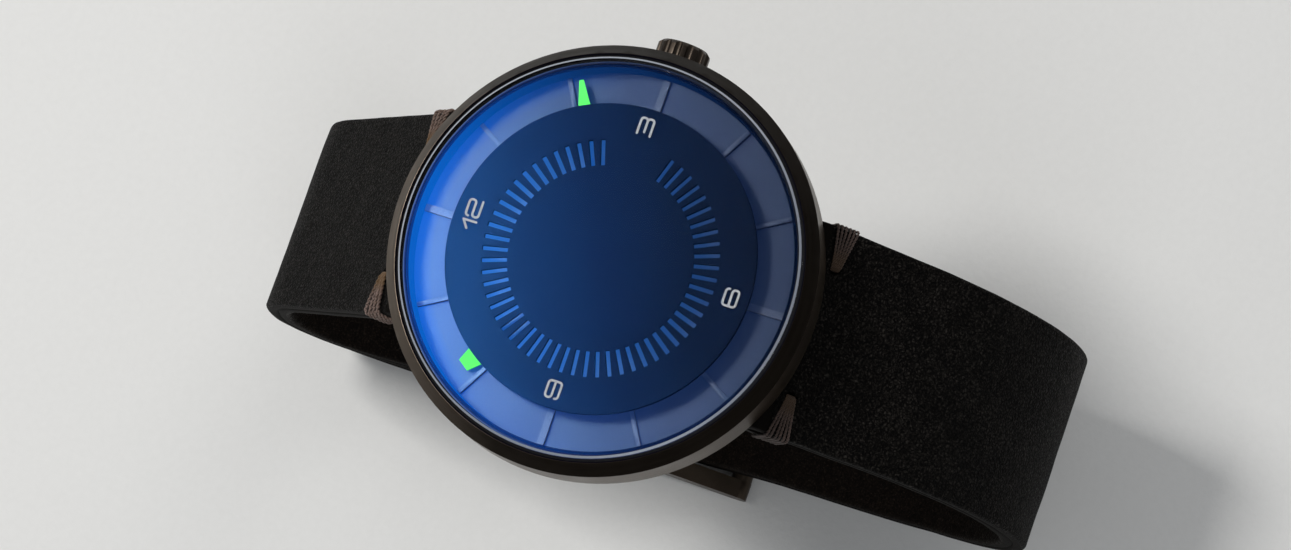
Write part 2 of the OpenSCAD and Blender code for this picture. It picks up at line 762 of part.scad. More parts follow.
module flange_ring() {
    color("#1d2c54") head() turned([[flange_r, fit], [dial_bore_r - fit, fit],
        [dial_bore_r - fit, ledge_z - fit], [flange_r + flange_lean, ledge_z - fit]]);
}

// Centre disc with its ring of slots
module centre_disc() {
    gap = (slots_missing + 1) / 2;
    east = slot_places / 4;
    color("#1f4a86") head() translate([0, 0, disc_bottom]) linear_extrude(disc_t) difference() {
        circle(r = disc_r, $fn = 128);
        for (i = [0:slot_places - 1]) if (abs(i - east) >= gap)
            rotate(90 - i * 360 / slot_places) translate([slot_end - slot_len, -slot_w / 2])
                square([slot_len, slot_w]);
    }
}

module disc_numerals() {
    color("#c9ccd2") head() translate([0, 0, disc_top]) linear_extrude(numeral_t) {
        translate([0, numeral_r]) number([1, 2]);
        translate([numeral_r, 0]) number([3]);
        translate([0, -numeral_r]) number([6]);
        translate([-numeral_r, 0]) number([9]);
    }
}

module dial() {
    color("#6f9de0") head() ring(dial_r, dial_hole_r, 0, dial_t);
}

module hour_bars() {
    color("#7aa5e6") head() for (i = [0:11]) {
        w = i % 3 == 0 ? bar_main_w : bar_w;
        rotate(90 - i * 30) translate([bar_end - bar_len, -w / 2, 0]) cube([bar_len, w, bar_h]);
    }
}

// Outline of a hand along +Y, with a shoulder where the tip begins to narrow
module hand_outline(w, w_tip, shoulder, len) {
    polygon([[-w / 2, 0], [-w / 2, shoulder], [-w_tip / 2, len], [w_tip / 2, len], [w / 2, shoulder],
        [w / 2, 0]]);
}

module hand(w, w_tip, shoulder, len, hub, bore, z) {
    translate([0, 0, z]) linear_extrude(hand_t) difference() {
        union() {
            circle(r = hub);
            intersection() {
                hand_outline(w, w_tip, shoulder, len);
                translate([-w, -over]) square([2 * w, tip_start + over]);
            }
        }
        circle(r = bore);
    }
}

module hand_tip(w, w_tip, shoulder, len, z) {
    translate([0, 0, z]) linear_extrude(hand_t) intersection() {
        hand_outline(w, w_tip, shoulder, len);
        translate([-w, tip_start]) square([2 * w, len]);
    }
}

module hour_hand() {
    color("#5d8fd6") head() rotate(hour_angle)
        hand(hour_w, hour_end_w, hour_shoulder, hour_len, hour_hub_r, hour_pipe_bore, hour_hand_z);
}

module hour_tip() {
    color("#5cf070") head() rotate(hour_angle)
        hand_tip(hour_w, hour_end_w, hour_shoulder, hour_len, hour_hand_z);
}

module minute_hand() {
    color("#5d8fd6") head() rotate(minute_angle)
        hand(minute_w, minute_end_w, minute_shoulder, minute_len, minute_hub_r, minute_bore_r, minute_hand_z);
}

module minute_tip() {
    color("#5cf070") head() rotate(minute_angle)
        hand_tip(minute_w, minute_end_w, minute_shoulder, minute_len, minute_hand_z);
}

// Motion works below the dial

module cannon_pinion() {
    color("#b9b9b4") head() rotate(minute_angle) difference() {
        union() {
            slab(cannon_r - run_gap, -minute_hand_z, cannon_level[1]);
            slab(minute_bore_r - fit, -minute_hand_z - hand_t, cannon_level[1]);
            pinion(cannon_teeth, cannon_m, cannon_level);
        }
        slab(centre_post_r + fit, works_floor - 0.6, works_floor + over);
    }
}

module hour_wheel() {
    color("#c9a44c") head() rotate(hour_wheel_turn) difference() {
        union() {
            pinion(hour_wheel_teeth, hour_m, hour_level);
            slab(hour_pipe_r, -hour_hand_z, hour_level[1]);
        }
        slab(hour_pipe_bore - fit, -hour_hand_z - over, works_top + over);
    }
}

module minute_wheel() {
    color("#c9a44c") head() translate(minute_wheel_at) rotate(minute_wheel_turn) difference() {
        union() {
            pinion(minute_wheel_teeth, cannon_m, minute_level);
            pinion(minute_pinion_teeth, hour_m, minute_leaves);
        }
        slab(minute_post_r + fit, 0, works_floor + over);
    }
}

// Movement

module movement_ring() {
    color("#d9d9d4") head() difference() {
        ring(movement_bore / 2 - fit, plate_r + fit, dial_t + fit, back_seat - 0.6);
        translate([plate_r - over, -1.1, -back_seat - over]) cube([3, 2.2, back_seat + over]);
    }
}

module mainplate() {
    color("#b8b4a8") head() difference() {
        slab(plate_r, dial_t + fit, plate_floor);
        slab(4.9, dial_t - over, works_floor);
        translate([0, 0, -stem_depth]) rotate([0, 90, 0]) cylinder(r = tube_bore_r, h = plate_r + over);
        translate(minute_wheel_at) slab(2.65, dial_t - over, works_floor);
        translate([stem_start - 0.2, -stem_pocket / 2, -plate_floor - over])
            cube([pinions_end - stem_start + 0.4, stem_pocket,
                plate_floor + over - stem_depth + stem_pocket / 2]);
        translate([8.9, -1, -lever_pocket]) cube([3.2, 5, lever_pocket]);
        translate([groove_x - 0.4, -0.4, -stem_depth]) cube([crown_pull + 0.8, 0.8, 1]);
        for (p = concat(barrel_screws, train_screws, [cock_screw])) translate(p)
            slab(screw_shank_r + fit, plate_floor - 1.15, plate_floor + over);
        slab(0.4, 0, plate_floor + over);
        for (p = [third_at, fourth_at, escape_at, balance_at, pallet_at])
            translate(p) slab(jewel_hole_r, jewel_top - run_gap, plate_floor + over);
        translate(barrel_at) slab(barrel_post_r + 0.1, jewel_top - run_gap, plate_floor + over);
    }
    color("#b8b4a8") head() translate(minute_wheel_at) slab(minute_post_r, works_top + 0.1, works_floor);
}

// Outline of a bridge: a share of the plate's circle less the balance's round window
module bridge_part(from, to) {
    intersection() {
        circle(r = plate_r - 0.3);
        polygon(concat([[0, 0]], [for (i = [0:8]) (plate_r + 8) * [cos(from + i * (to - from) / 8),
            sin(from + i * (to - from) / 8)]]));
    }
}

module foot(at, r = 0.8) {
    translate(at) slab(r, plate_floor, bridge_top);
}

barrel_screws = [[-10.9, 1.6], [4.1, 10.9]];
train_screws = [[11.3, -2.9], [8.9, 6.8], [4.6, -10.4]];
cock_screw = [-8, -4.3];
rotor_screws = [for (a = [-150, -30, 60]) 2.5 * [cos(a), sin(a)]];

// Holes for a bridge's own screws and for those of the rotor bridge
module bridge_screw_holes(places) {
    for (p = places) translate(p) {
        slab(screw_shank_r + fit, 0, bridge_bottom + over);
        slab(screw_head_r + fit, bridge_bottom - screw_pocket, bridge_bottom + over);
    }
    for (p = rotor_screws) translate(p) slab(small_shank_r + fit, 0, bridge_bottom + over);
}

module barrel_bridge() {
    color("#c8c6be") head() difference() {
        union() {
            translate([0, 0, -bridge_bottom]) linear_extrude(bridge_t) difference() {
                bridge_part(65, 178);
                circle(r = 0.9);
            }
            for (p = barrel_screws) foot(p);
        }
        translate(barrel_at) slab(barrel_post_r, 0, bridge_bottom + over);
        translate(barrel_at) slab(3.1, bridge_bottom - 0.4, bridge_bottom + over);
        bridge_screw_holes(barrel_screws);
        translate(reduction_at) slab(arbor_r + run_gap, 0, bridge_bottom + over);
    }
}

module train_bridge() {
    color("#c8c6be") head() difference() {
        union() {
            translate([0, 0, -bridge_bottom]) linear_extrude(bridge_t) difference() {
                bridge_part(-68, 64);
                circle(r = 0.3);
                translate(balance_at) circle(r = balance_r + 0.5);
            }
            for (p = train_screws) foot(p);
        }
        for (p = [third_at, fourth_at, escape_at]) translate(p) slab(jewel_hole_r, 0, bridge_bottom + over);
        bridge_screw_holes(train_screws);
    }
}

module balance_cock() {
    foot_at = cock_screw;
    color("#c8c6be") head() difference() {
        union() {
            translate([0, 0, -cock_top - cock_t]) linear_extrude(cock_t) {
                translate(balance_at) circle(r = 1.3);
                translate(foot_at) circle(r = 1.2);
                translate(balance_at) rotate(atan2(foot_at[1] - balance_at[1], foot_at[0] - balance_at[0]))
                    translate([0, -0.9]) square([norm(foot_at - balance_at), 1.8]);
            }
            translate(foot_at) slab(1.2, plate_floor, cock_top + fit);
        }
        translate(balance_at) slab(jewel_hole_r, 0, back_depth);
        translate(foot_at) slab(screw_shank_r + fit, 0, back_depth);
        translate(foot_at) slab(screw_head_r + fit, cock_top + cock_t - screw_pocket, back_depth);
    }
}

// Bridge above the wheels that carries the rotor's bearing
module rotor_bridge() {
    color("#c8c6be") head() difference() {
        union() {
            slab(rotor_plate_r, bridge_bottom, bridge_bottom + rotor_plate_t);
            slab(rotor_post_r, bridge_bottom, rotor_top + rotor_t + 0.1);
        }
        slab(small_shank_r + fit, 0, back_depth);
        for (p = rotor_screws) translate(p) {
            slab(small_shank_r + fit, 0, back_depth);
            slab(small_head_r + fit, bridge_bottom + rotor_plate_t - small_head_t, back_depth);
        }
    }
}

module bridge_screws() {
    shank = bridge_t + 1.6;
    color("#4a5a86") head() {
        for (p = concat(barrel_screws, train_screws))
            translate(p) screw(screw_head_r, screw_shank_r, bridge_bottom, screw_head_t, shank);
        translate(cock_screw)
            screw(screw_head_r, screw_shank_r, cock_top + cock_t, screw_head_t, cock_t + 1.8);
        for (p = rotor_screws) translate(p)
            screw(small_head_r, small_shank_r, bridge_bottom + rotor_plate_t, small_head_t, bridge_t + 0.1);
    }
}

// Ring-shaped bearing stones in plate and bridges
module jewel(top, bottom) {
    ring(jewel_r, pivot_r + fit, top, bottom);
}

module jewels() {
    color("#c2185b") head() {
        for (p = [third_at, fourth_at, escape_at]) translate(p) {
            jewel(jewel_top, plate_floor - fit);
            jewel(bridge_top + run_gap, bridge_bottom);
        }
        translate(balance_at) {
            jewel(jewel_top, plate_floor - fit);
            jewel(cock_top + run_gap, cock_top + cock_t);
        }
        translate(pallet_at) jewel(jewel_top, plate_floor - fit);
    }
}

module barrel() {
    r = barrel_teeth * barrel_m / 2 - 1.3 * barrel_m;
    wall = 0.15;
    color("#c9a44c") head() translate(barrel_at) rotate(barrel_turn) difference() {
        union() {
            slab(r, barrel_level[0], barrel_level[1]);
            pinion(barrel_teeth, barrel_m, barrel_gear_level);
        }
        slab(r - 2 * wall, barrel_level[0] + wall, barrel_level[1] - wall);
        slab(barrel_post_r + fit, plate_floor, bridge_bottom);
    }
}

// Spiral strip between two radii
module spiral(r_in, r_out, turns, t, steps) {
    last = turns * steps;
    points = [for (i = [0:last]) [r_in + (r_out - r_in) * i / last, i * 360 / steps]];
    outer = [for (p = points) (p[0] + t) * [cos(p[1]), sin(p[1])]];
    inner = [for (i = [len(points) - 1:-1:0]) points[i][0] * [cos(points[i][1]), sin(points[i][1])]];
    polygon(concat(outer, inner));
}

module mainspring() {
    color("#8a8f96") head() translate(barrel_at) layer(spring_level) spiral(1.5, 4.7, 6, 0.15, 16);
}

module barrel_arbor() {
    color("#9a9a98") head() translate(barrel_at) {
        slab(barrel_post_r - run_gap, plate_floor + run_gap, bridge_bottom + 0.1);
        slab(2 * barrel_post_r, spring_level[0], spring_level[1]);
        rotate(ratchet_turn) pinion(ratchet_teeth, ratchet_m, ratchet_level);
    }
}

module click() {
    color("#8a8f96") head() translate(click_at) layer([bridge_bottom + fit, bridge_bottom + 0.3]) {
        circle(r = 0.5);
        rotate(-75) polygon([[0, -0.45], [1.15, 0.1], [1.2, 0.3], [0, 0.45]]);
    }
}

module centre_wheel() {
    color("#c9a44c") head() {
        wheel(centre_teeth, centre_m, centre_level);
        pinion(centre_pinion_teeth, barrel_m, centre_leaves);
        slab(arbor_r, plate_floor + run_gap, bridge_top - run_gap);
        slab(centre_post_r, works_floor - 0.3, bridge_top + 0.55);
    }
}

module third_wheel() {
    color("#c9a44c") head() translate(third_at) rotate(third_turn) {
        pinion(third_pinion_teeth, centre_m, third_leaves);
        wheel(third_teeth, third_m, third_level);
        arbor();
    }
}

module fourth_wheel() {
    color("#c9a44c") head() translate(fourth_at) rotate(fourth_turn) {
        wheel(fourth_teeth, fourth_m, fourth_level);
        pinion(fourth_pinion_teeth, third_m, fourth_leaves);
        arbor();
    }
}

module escape_wheel() {
    teeth = 15;
    pitch = 360 / teeth;
    tooth = [[0, escape_r - 0.55], [0.2, escape_r], [0.42, escape_r - 0.05], [0.6, escape_r - 0.6]];
    color("#b5b8bd") head() translate(escape_at) rotate(escape_turn) {
        layer(escape_level) difference() {
            polygon([for (i = [0:teeth - 1], k = tooth)
                k[1] * [cos((i + k[0]) * pitch), sin((i + k[0]) * pitch)]]);
            difference() {
                circle(r = escape_r - 0.85);
                circle(r = 0.5);
                for (a = [0:90:270]) rotate(a) translate([0, -0.13]) square([escape_r, 0.26]);
            }
        }
        pinion(escape_pinion_teeth, fourth_m, escape_leaves);
        arbor();
    }
}

module pallet_fork() {
    to_escape = escape_at - pallet_at;
    color("#b5b8bd") head() translate(pallet_at) rotate(atan2(to_escape[1], to_escape[0])) {
        layer(fork_level) {
            circle(r = 0.4);
            translate([-2.2, -0.14]) square([2.2, 0.28]);
            polygon([[0, -0.4], [0.35, -2.0], [0.7, -2.0], [0.4, 0], [0.7, 2.0], [0.35, 2.0], [0, 0.4]]);
            for (s = [-1, 1]) translate([-2.55, s * 0.24 - 0.07]) square([0.4, 0.14]);
            translate([-2.25, -0.31]) square([0.14, 0.62]);
        }
        slab(pivot_r - 0.005, plate_floor - 0.25, bridge_top - 0.35);
    }
}

module balance_wheel() {
    color("#d6b25a") head() translate(balance_at) {
        layer(balance_level) difference() {
            circle(r = balance_r);
            difference() {
                circle(r = balance_r - 0.55);
                circle(r = 0.6);
                for (a = [30, 150, 270]) rotate(a) translate([0, -0.22]) square([balance_r, 0.44]);
            }
        }
        slab(0.55, roller_level[0], roller_level[1]);
        slab(arbor_r - 0.03, plate_floor + run_gap, cock_top - run_gap);
        slab(pivot_r, plate_floor - 0.25, cock_top + 0.35);
    }
}

module hairspring() {
    color("#5b6ea8") head() translate(balance_at) layer(hairspring_level) spiral(0.55, 2.5, 8, 0.07, 16);
}

module reduction_wheel() {
    color("#c9a44c") head() translate(reduction_at) rotate(reduction_turn) {
        pinion(reduction_pinion_teeth, ratchet_m, reduction_leaves);
        pinion(reduction_teeth, auto_m, reduction_level);
        slab(arbor_r, bridge_top, reduction_leaves[1]);
    }
}

module rotor() {
    color("#c2c0b8") head() translate([0, 0, -rotor_top - rotor_t]) linear_extrude(rotor_t) difference() {
        union() {
            intersection() {
                circle(r = rotor_r - rotor_rim / 2);
                translate([-plate_r, -plate_r]) square([plate_d, plate_r + 1.2]);
            }
            circle(r = rotor_bore_r + 0.6);
        }
        circle(r = rotor_bore_r);
        for (a = [-150, -90, -30]) rotate(a) translate([6.4, 0]) circle(r = 1.9);
    }
    color("#c2c0b8") head() layer(rotor_gear_level) difference() {
        gear_outline(rotor_gear_teeth, auto_m);
        circle(r = rotor_bore_r - 0.1);
    }
}

module rotor_weight() {
    color("#a8a59c") head() translate([0, 0, -rotor_top - rotor_t - 0.02]) mirror([0, 0, 1])
        linear_extrude(rim_t - rotor_t) difference() {
            intersection() {
                circle(r = rotor_r);
                translate([-plate_r, -plate_r]) square([plate_d, plate_r + 1.2]);
            }
            circle(r = rotor_r - rotor_rim);
        }
}

module rotor_bearing() {
    color("#9a9a98") head() {
        ring(rotor_bore_r - fit, race_out, rotor_top, rotor_top + rotor_t);
        ring(race_in, rotor_post_r + fit, rotor_top, rotor_top + rotor_t);
        for (i = [0:ball_count - 1]) rotate(i * 360 / ball_count)
            translate([(race_in + race_out) / 2, 0, -rotor_top - rotor_t / 2]) sphere(r = 0.14, $fn = 16);
    }
}

// Crown works

module crown() {
    color("#4c4740") head() translate([crown_start, 0, -stem_depth]) rotate([0, 90, 0]) difference() {
        intersection() {
            linear_extrude(crown_len) difference() {
                circle(r = crown_r);
                for (i = [0:crown_flutes - 1]) rotate(i * 360 / crown_flutes)
                    translate([crown_r + flute_out, 0]) circle(r = flute_r, $fn = 16);
            }
            turned([[0, 0], [crown_r - 0.15, 0], [crown_r, 0.15], [crown_r, crown_len - 0.4],
                [crown_r - 0.35, crown_len - 0.05], [crown_r - 0.8, crown_len], [0, crown_len]]);
        }
        translate([0, 0, -over])
            cylinder(r = tube_r + o_ring_wall + run_gap, h = crown_len - crown_cap + over);
        cylinder(r = stem_r - stem_neck + fit, h = crown_len - crown_cap + stem_end_depth);
    }
}

module crown_gasket() {
    color("#161616") head() translate([crown_start + run_gap, 0, -stem_depth]) rotate([0, 90, 0])
        difference() {
            cylinder(r = tube_r + o_ring_wall, h = o_ring_len);
            translate([0, 0, -over]) cylinder(r = tube_r + run_gap, h = o_ring_len + 2 * over);
        }
}

module crown_tube() {
    color("#9a9a98") head() translate([tube_start, 0, -stem_depth]) rotate([0, 90, 0]) difference() {
        cylinder(r = tube_r, h = tube_end - tube_start);
        translate([0, 0, -over]) cylinder(r = tube_bore_r, h = tube_end - tube_start + 2 * over);
    }
}

module winding_stem() {
    color("#9a9a98") head() translate([0, 0, -stem_depth]) rotate([0, 90, 0]) difference() {
        union() {
            translate([0, 0, stem_start])
                cylinder(r = stem_r, h = crown_end - crown_cap - run_gap - stem_start);
            translate([0, 0, stem_start]) cylinder(r = stem_r - stem_neck,
                h = crown_end - crown_cap + stem_end_depth - run_gap - stem_start);
        }
        translate([0, 0, groove_x - groove_w / 2]) difference() {
            cylinder(r = stem_r + over, h = groove_w);
            cylinder(r = stem_r - groove_depth, h = groove_w);
        }
    }
}

module winding_pinion() {
    color("#b5b8bd") head() translate([winding_x, 0, -stem_depth]) rotate([0, 90, 0])
        linear_extrude(pinions_end - winding_x) difference() {
            gear_outline(stem_gear_teeth, stem_gear_m);
            circle(r = stem_r + fit);
        }
}

module sliding_pinion() {
    color("#b5b8bd") head() translate([sliding_x, 0, -stem_depth]) rotate([0, 90, 0]) difference() {
        linear_extrude(sliding_len) difference() {
            gear_outline(stem_gear_teeth - 1, stem_gear_m);
            circle(r = stem_r + fit);
        }
        translate([0, 0, sliding_len * 0.4]) difference() {
            cylinder(r = 2, h = 0.3);
            cylinder(r = stem_r + 0.12, h = 0.3);
        }
    }
}

// Lever that holds the stem, at its place while the crown is pushed in
module setting_lever() {
    swing = asin(crown_pull / 2 / setting_arm);
    color("#8a8f96") head() translate([groove_x + crown_pull / 2, setting_arm, 0]) rotate(-swing) {
        layer([0.57, 0.82]) {
            circle(r = 0.6);
            translate([-0.25, -setting_arm]) square([0.5, setting_arm]);
        }
        slab(0.2, 0.6, lever_pocket - 0.01);
        translate([0, -setting_arm, 0]) slab(0.2, 0.8, stem_depth - stem_r + groove_depth - 0.06);
    }
}

// Case back

module case_back() {
    color("#8e887d") head() difference() {
        union() {
            turned([[window_r - window_ledge, -back_inside], [back_bore_r, -back_inside],
                [back_bore_r, -back_seat], [back_r, -back_seat], [back_r, -back_depth + 0.5],
                [back_r - 0.7, -back_depth], [window_r - window_ledge, -back_depth]]);
            at_back_screws() slab(back_head_r + 0.35, back_seat, back_seat + 0.9);
        }
        slab(window_r, window_top, back_depth + over);
        at_back_screws() {
            slab(back_shank_r + run_gap, back_seat - over, back_depth + over);
            slab(back_head_r, back_seat + 0.45, back_depth + over);
        }
        for (s = [0, 180]) rotate(s) translate([-slot_half, slot_y, -back_depth - over])
            cube([2 * slot_half, case_r, back_depth]);
    }
}

module back_window() {
    color([0.85, 0.92, 1, 0.35]) head() slab(window_r - fit, window_top, back_depth);
}

module back_gasket() {
    color("#161616") head()
        ring(back_bore_r + gasket_w - fit, back_bore_r + fit, back_seat - gasket_w + fit, back_seat - fit);
}

module back_screws() {
    color("#7d776c") head() at_back_screws()
        screw(back_head_r - 0.03, back_shank_r, back_seat + 0.85, 0.38, 1.8);
}

module strap_bars() {
    half = strap_w / 2 - loose;
    color("#9a9a98") head() for (s = [0, 180]) rotate(s) translate([-half, bar_y, -bar_depth])
        rotate([0, 90, 0]) cylinder(d = strap_bar_d, h = 2 * half);
}

// Strap

module strap_12() {
    color("#2b2422") loop() difference() {
        union() {
            intersection() {
                strap_body(start_12, runs_12, strap_w);
                strap_taper(mid_12[1]);
            }
            strap_eye();
            intersection() {
                translate([-strap_w_buckle / 2, hinge_y, hinge_z]) rotate([0, 90, 0])
                    cylinder(r = strap_t / 2, h = strap_w_buckle);
                strap_taper(mid_12[1]);
            }
        }
        eye_cuts();
        translate([-strap_w, hinge_y, hinge_z]) rotate([0, 90, 0])
            cylinder(d = buckle_bar_d + 2 * run_gap, h = 2 * strap_w);
        translate([-tang_w / 2 - loose, hinge_y - tang_slot, 0])
            cube([tang_w + 2 * loose, tang_slot + hinge_r + loose, inner_level + strap_t + over]);
    }
}

module strap_6() {
    color("#2b2422") loop() difference() {
        mirror([0, 1, 0]) difference() {
            union() {
                intersection() {
                    strap_body(start_6, runs_6, strap_w);
                    strap_taper(mid_6[1]);
                }
                strap_eye();
            }
            eye_cuts();
        }
        for (i = [-holes_behind:holes_ahead]) translate([0, used_hole_y - i * hole_pitch, -over])
            cylinder(d = hole_d, h = inner_level + strap_t + 4 * over);
        translate([0, -tail_tip[0], tail_tip[1]]) rotate([-tail_tip[2] - 165, 0, 0]) tip_corners();
    }
}

// What is cut off the strap's end to round it
module tip_corners() {
    r = strap_w_buckle / 2 - 1.5;
    depth = 2 * strap_t + over;
    translate([0, 0, -depth]) linear_extrude(2 * depth) difference() {
        translate([-strap_w, -r + 0.5]) square([2 * strap_w, r + 4]);
        translate([0, -r]) rounded(strap_w_buckle + 0.4, 2 * r, r - 0.5);
        translate([-strap_w, -2 * r]) square([2 * strap_w, r]);
    }
}

module stitches_12() {
    color("#c7a389") loop() for (s = [-1, 1])
        side_stitch(start_12, s, stitch_out_12, stitch_fan_12);
}

module stitches_6() {
    color("#c7a389") loop() mirror([0, 1, 0]) for (s = [-1, 1])
        side_stitch(start_6, s, stitch_out_6, stitch_fan_6);
}

// Keepers and buckle

fixed_keeper_y = hinge_y + 4.6;
sliding_keeper_y = fixed_keeper_y + keeper_w + 2;

module fixed_keeper() {
    color("#2b2422") loop() keeper_band(fixed_keeper_y);
}

module sliding_keeper() {
    color("#2b2422") loop() keeper_band(sliding_keeper_y);
}

module buckle_frame() {
    drop = hinge_z - far_z;
    lean = atan2(drop, buckle_len);
    reach = norm([drop, buckle_len]);
    color("#857c70") loop() difference() {
        union() {
            for (s = [-1, 1]) translate([s * (buckle_in + arm_t / 2) - arm_t / 2, hinge_y, hinge_z])
                rotate([90, 0, 90]) linear_extrude(arm_t) rotate(180 + lean) {
                    circle(r = hinge_r);
                    polygon([[0, -hinge_r], [reach, -far_bar_d / 2], [reach, far_bar_d / 2], [0, hinge_r]]);
                    translate([reach, 0]) circle(d = far_bar_d);
                }
            translate([-buckle_in - arm_t / 2, far_y, far_z]) rotate([0, 90, 0])
                cylinder(d = far_bar_d - 0.1, h = 2 * buckle_in + arm_t);
        }
        translate([-tang_w / 2 - keeper_gap, far_y - 3, -over])
            cube([tang_w + 2 * keeper_gap, 6, tang_t + keeper_gap + over]);
        translate([-buckle_in - buckle_pin_reach - fit, hinge_y, hinge_z]) rotate([0, 90, 0])
            cylinder(d = buckle_pin_d + 2 * fit, h = 2 * (buckle_in + buckle_pin_reach + fit));
    }
}

module buckle_bar() {
    half = buckle_in - 0.1;
    color("#9a9a98") loop() translate([0, hinge_y, hinge_z]) rotate([0, 90, 0]) {
        translate([0, 0, -half]) cylinder(d = buckle_bar_d, h = 2 * half);
        translate([0, 0, -buckle_in - buckle_pin_reach])
            cylinder(d = buckle_pin_d, h = 2 * (buckle_in + buckle_pin_reach));
    }
}

module buckle_tang() {
    tip_y = far_y - 1;
    heel_y = used_hole_y - 0.95;
    neck_z = inner_level - overlap_gap;
    foot_z = 0.05;
    color("#857c70") loop() difference() {
        union() {
            translate([-tang_w / 2, hinge_y, hinge_z]) rotate([0, 90, 0]) cylinder(r = hinge_r, h = tang_w);
            translate([-tang_w / 2, 0, 0]) rotate([90, 0, 90]) linear_extrude(tang_w)
                polygon([[hinge_y, hinge_z + hinge_r], [hinge_y - hinge_r, hinge_z],
                    [heel_y + 0.45, neck_z], [heel_y, outer_level - 0.25], [tip_y, tang_t + foot_z],
                    [tip_y, foot_z], [heel_y + tang_t, foot_z], [heel_y + tang_t + 0.4, neck_z],
                    [heel_y + tang_t + 0.75, neck_z + 0.65], [hinge_y, hinge_z - hinge_r]]);
        }
        translate([-tang_w, hinge_y, hinge_z]) rotate([0, 90, 0])
            cylinder(d = buckle_bar_d + 2 * run_gap, h = 2 * tang_w);
    }
}

case_middle();
crystal();
crystal_gasket();
flange_ring();
centre_disc();
disc_numerals();
dial();
hour_bars();
hour_hand();
hour_tip();
minute_hand();
minute_tip();
cannon_pinion();
hour_wheel();
minute_wheel();
movement_ring();
mainplate();
barrel_bridge();
train_bridge();
balance_cock();
rotor_bridge();
bridge_screws();
jewels();
barrel();
mainspring();
barrel_arbor();
click();
centre_wheel();
third_wheel();
fourth_wheel();
escape_wheel();
pallet_fork();
balance_wheel();
hairspring();
reduction_wheel();
rotor();
rotor_weight();
rotor_bearing();
crown();
crown_gasket();
crown_tube();
winding_stem();
winding_pinion();
sliding_pinion();
setting_lever();
case_back();
back_window();
back_gasket();
back_screws();
strap_bars();
strap_12();
strap_6();
stitches_12();
stitches_6();
fixed_keeper();
sliding_keeper();
buckle_frame();
buckle_bar();
buckle_tang();
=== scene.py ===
"""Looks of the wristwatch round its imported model: camera, light, materials, and the leather and thread."""
import itertools
import math

import bpy
from mathutils import Matrix, Vector, noise


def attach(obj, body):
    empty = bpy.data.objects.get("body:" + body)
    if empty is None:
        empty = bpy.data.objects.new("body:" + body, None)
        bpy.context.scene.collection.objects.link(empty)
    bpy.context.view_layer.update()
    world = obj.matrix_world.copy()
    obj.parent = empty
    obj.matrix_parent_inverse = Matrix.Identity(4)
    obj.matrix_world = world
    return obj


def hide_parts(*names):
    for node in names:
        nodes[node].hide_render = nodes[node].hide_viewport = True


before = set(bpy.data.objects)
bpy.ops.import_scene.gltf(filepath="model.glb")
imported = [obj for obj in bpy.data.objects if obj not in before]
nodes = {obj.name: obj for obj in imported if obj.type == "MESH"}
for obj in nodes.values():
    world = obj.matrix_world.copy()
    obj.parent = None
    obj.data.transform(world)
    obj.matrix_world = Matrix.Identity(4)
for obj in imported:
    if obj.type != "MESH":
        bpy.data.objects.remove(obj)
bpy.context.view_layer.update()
MM = 0.001

# Camera, whose pose and lens follow from the ellipses of the crystal, the disc and the case in the photo
camera = bpy.data.objects.new("camera", bpy.data.cameras.new("camera"))
bpy.context.scene.collection.objects.link(camera)
bpy.context.scene.camera = camera
to_right = Vector((0.32731055, -0.92539514, -0.19108018))
to_top = Vector((0.93372473, 0.28571993, 0.21569016))
to_back = Vector((-0.14500321, -0.24901396, 0.95758348))
pose = Matrix((to_right, to_top, to_back)).transposed().to_4x4()
pose.translation = (-0.065149, -0.115936, 0.437889)
camera.matrix_world = pose
camera.data.sensor_width = 36
camera.data.lens = 138.63
camera.data.clip_start = 0.01

# Light and floor
FLOOR_Z, FLOOR_R = -0.04412, 3                  # a hair below the strap, so that none of it shows from under


def area_light(name, place, aim, size, watts, colour):
    """Rectangular lamp at place that shines towards aim."""
    light = bpy.data.lights.new(name, "AREA")
    light.shape = "RECTANGLE"
    light.size, light.size_y = size
    light.energy = watts
    light.color = colour
    lamp = bpy.data.objects.new(name, light)
    bpy.context.scene.collection.objects.link(lamp)
    lamp.location = place
    lamp.rotation_mode = "QUATERNION"
    lamp.rotation_quaternion = (Vector(place) - Vector(aim)).to_track_quat("Z", "Y")


area_light("key", (0.040, 0.236, 0.451), (0, 0, 0), (0.13, 0.13), 1.75, (1.0, 0.985, 0.96))
area_light("fill", (-0.46, -0.22, 0.42), (0, 0, -0.02), (0.40, 0.40), 0.7, (0.94, 0.97, 1.0))
area_light("edge", (0.48, -0.12, 0.30), (0, 0, -0.02), (0.25, 0.35), 0.55, (1.0, 0.98, 0.95))

world = bpy.data.worlds.new("studio")
bpy.context.scene.world = world
world.use_nodes = True
world.node_tree.nodes["Background"].inputs["Color"].default_value = (0.95, 0.97, 1.0, 1)
world.node_tree.nodes["Background"].inputs["Strength"].default_value = 0.30
bpy.context.scene.view_settings.view_transform = "Standard"


# Radii and heights in metres where a material changes
WEAR_FROM = 0.0193                              # the bezel's worn edge
LEDGE_R, LEDGE_Z = 0.01893, 0.0075              # the case's inside under the crystal, painted black as painted shade
GROUND_R, GROUND_Z = 0.01836, 0.01029           # the crystal's ground chamfer
FOOT_R, LINE_R = 0.01818, 0.01828               # where the gasket's painted blue glow ends, and the paler painted glowing line round it
SLOT_GLOW_R = 0.0116                                # the dial's painted glow under the disc's slots, inside this radius
DIAL_REACH = 0.0172                             # from the dial's middle to 0 and 1 of across_dial

# Materials
SOCKETS = {"base": "Base Color", "metal": "Metallic", "rough": "Roughness", "ior": "IOR",
           "spec": "Specular IOR Level", "coat": "Coat Weight", "coat_rough": "Coat Roughness",
           "sheen": "Sheen Weight", "sheen_rough": "Sheen Roughness", "glass": "Transmission Weight",
           "glow": "Emission Color", "glow_strength": "Emission Strength", "normal": "Normal"}


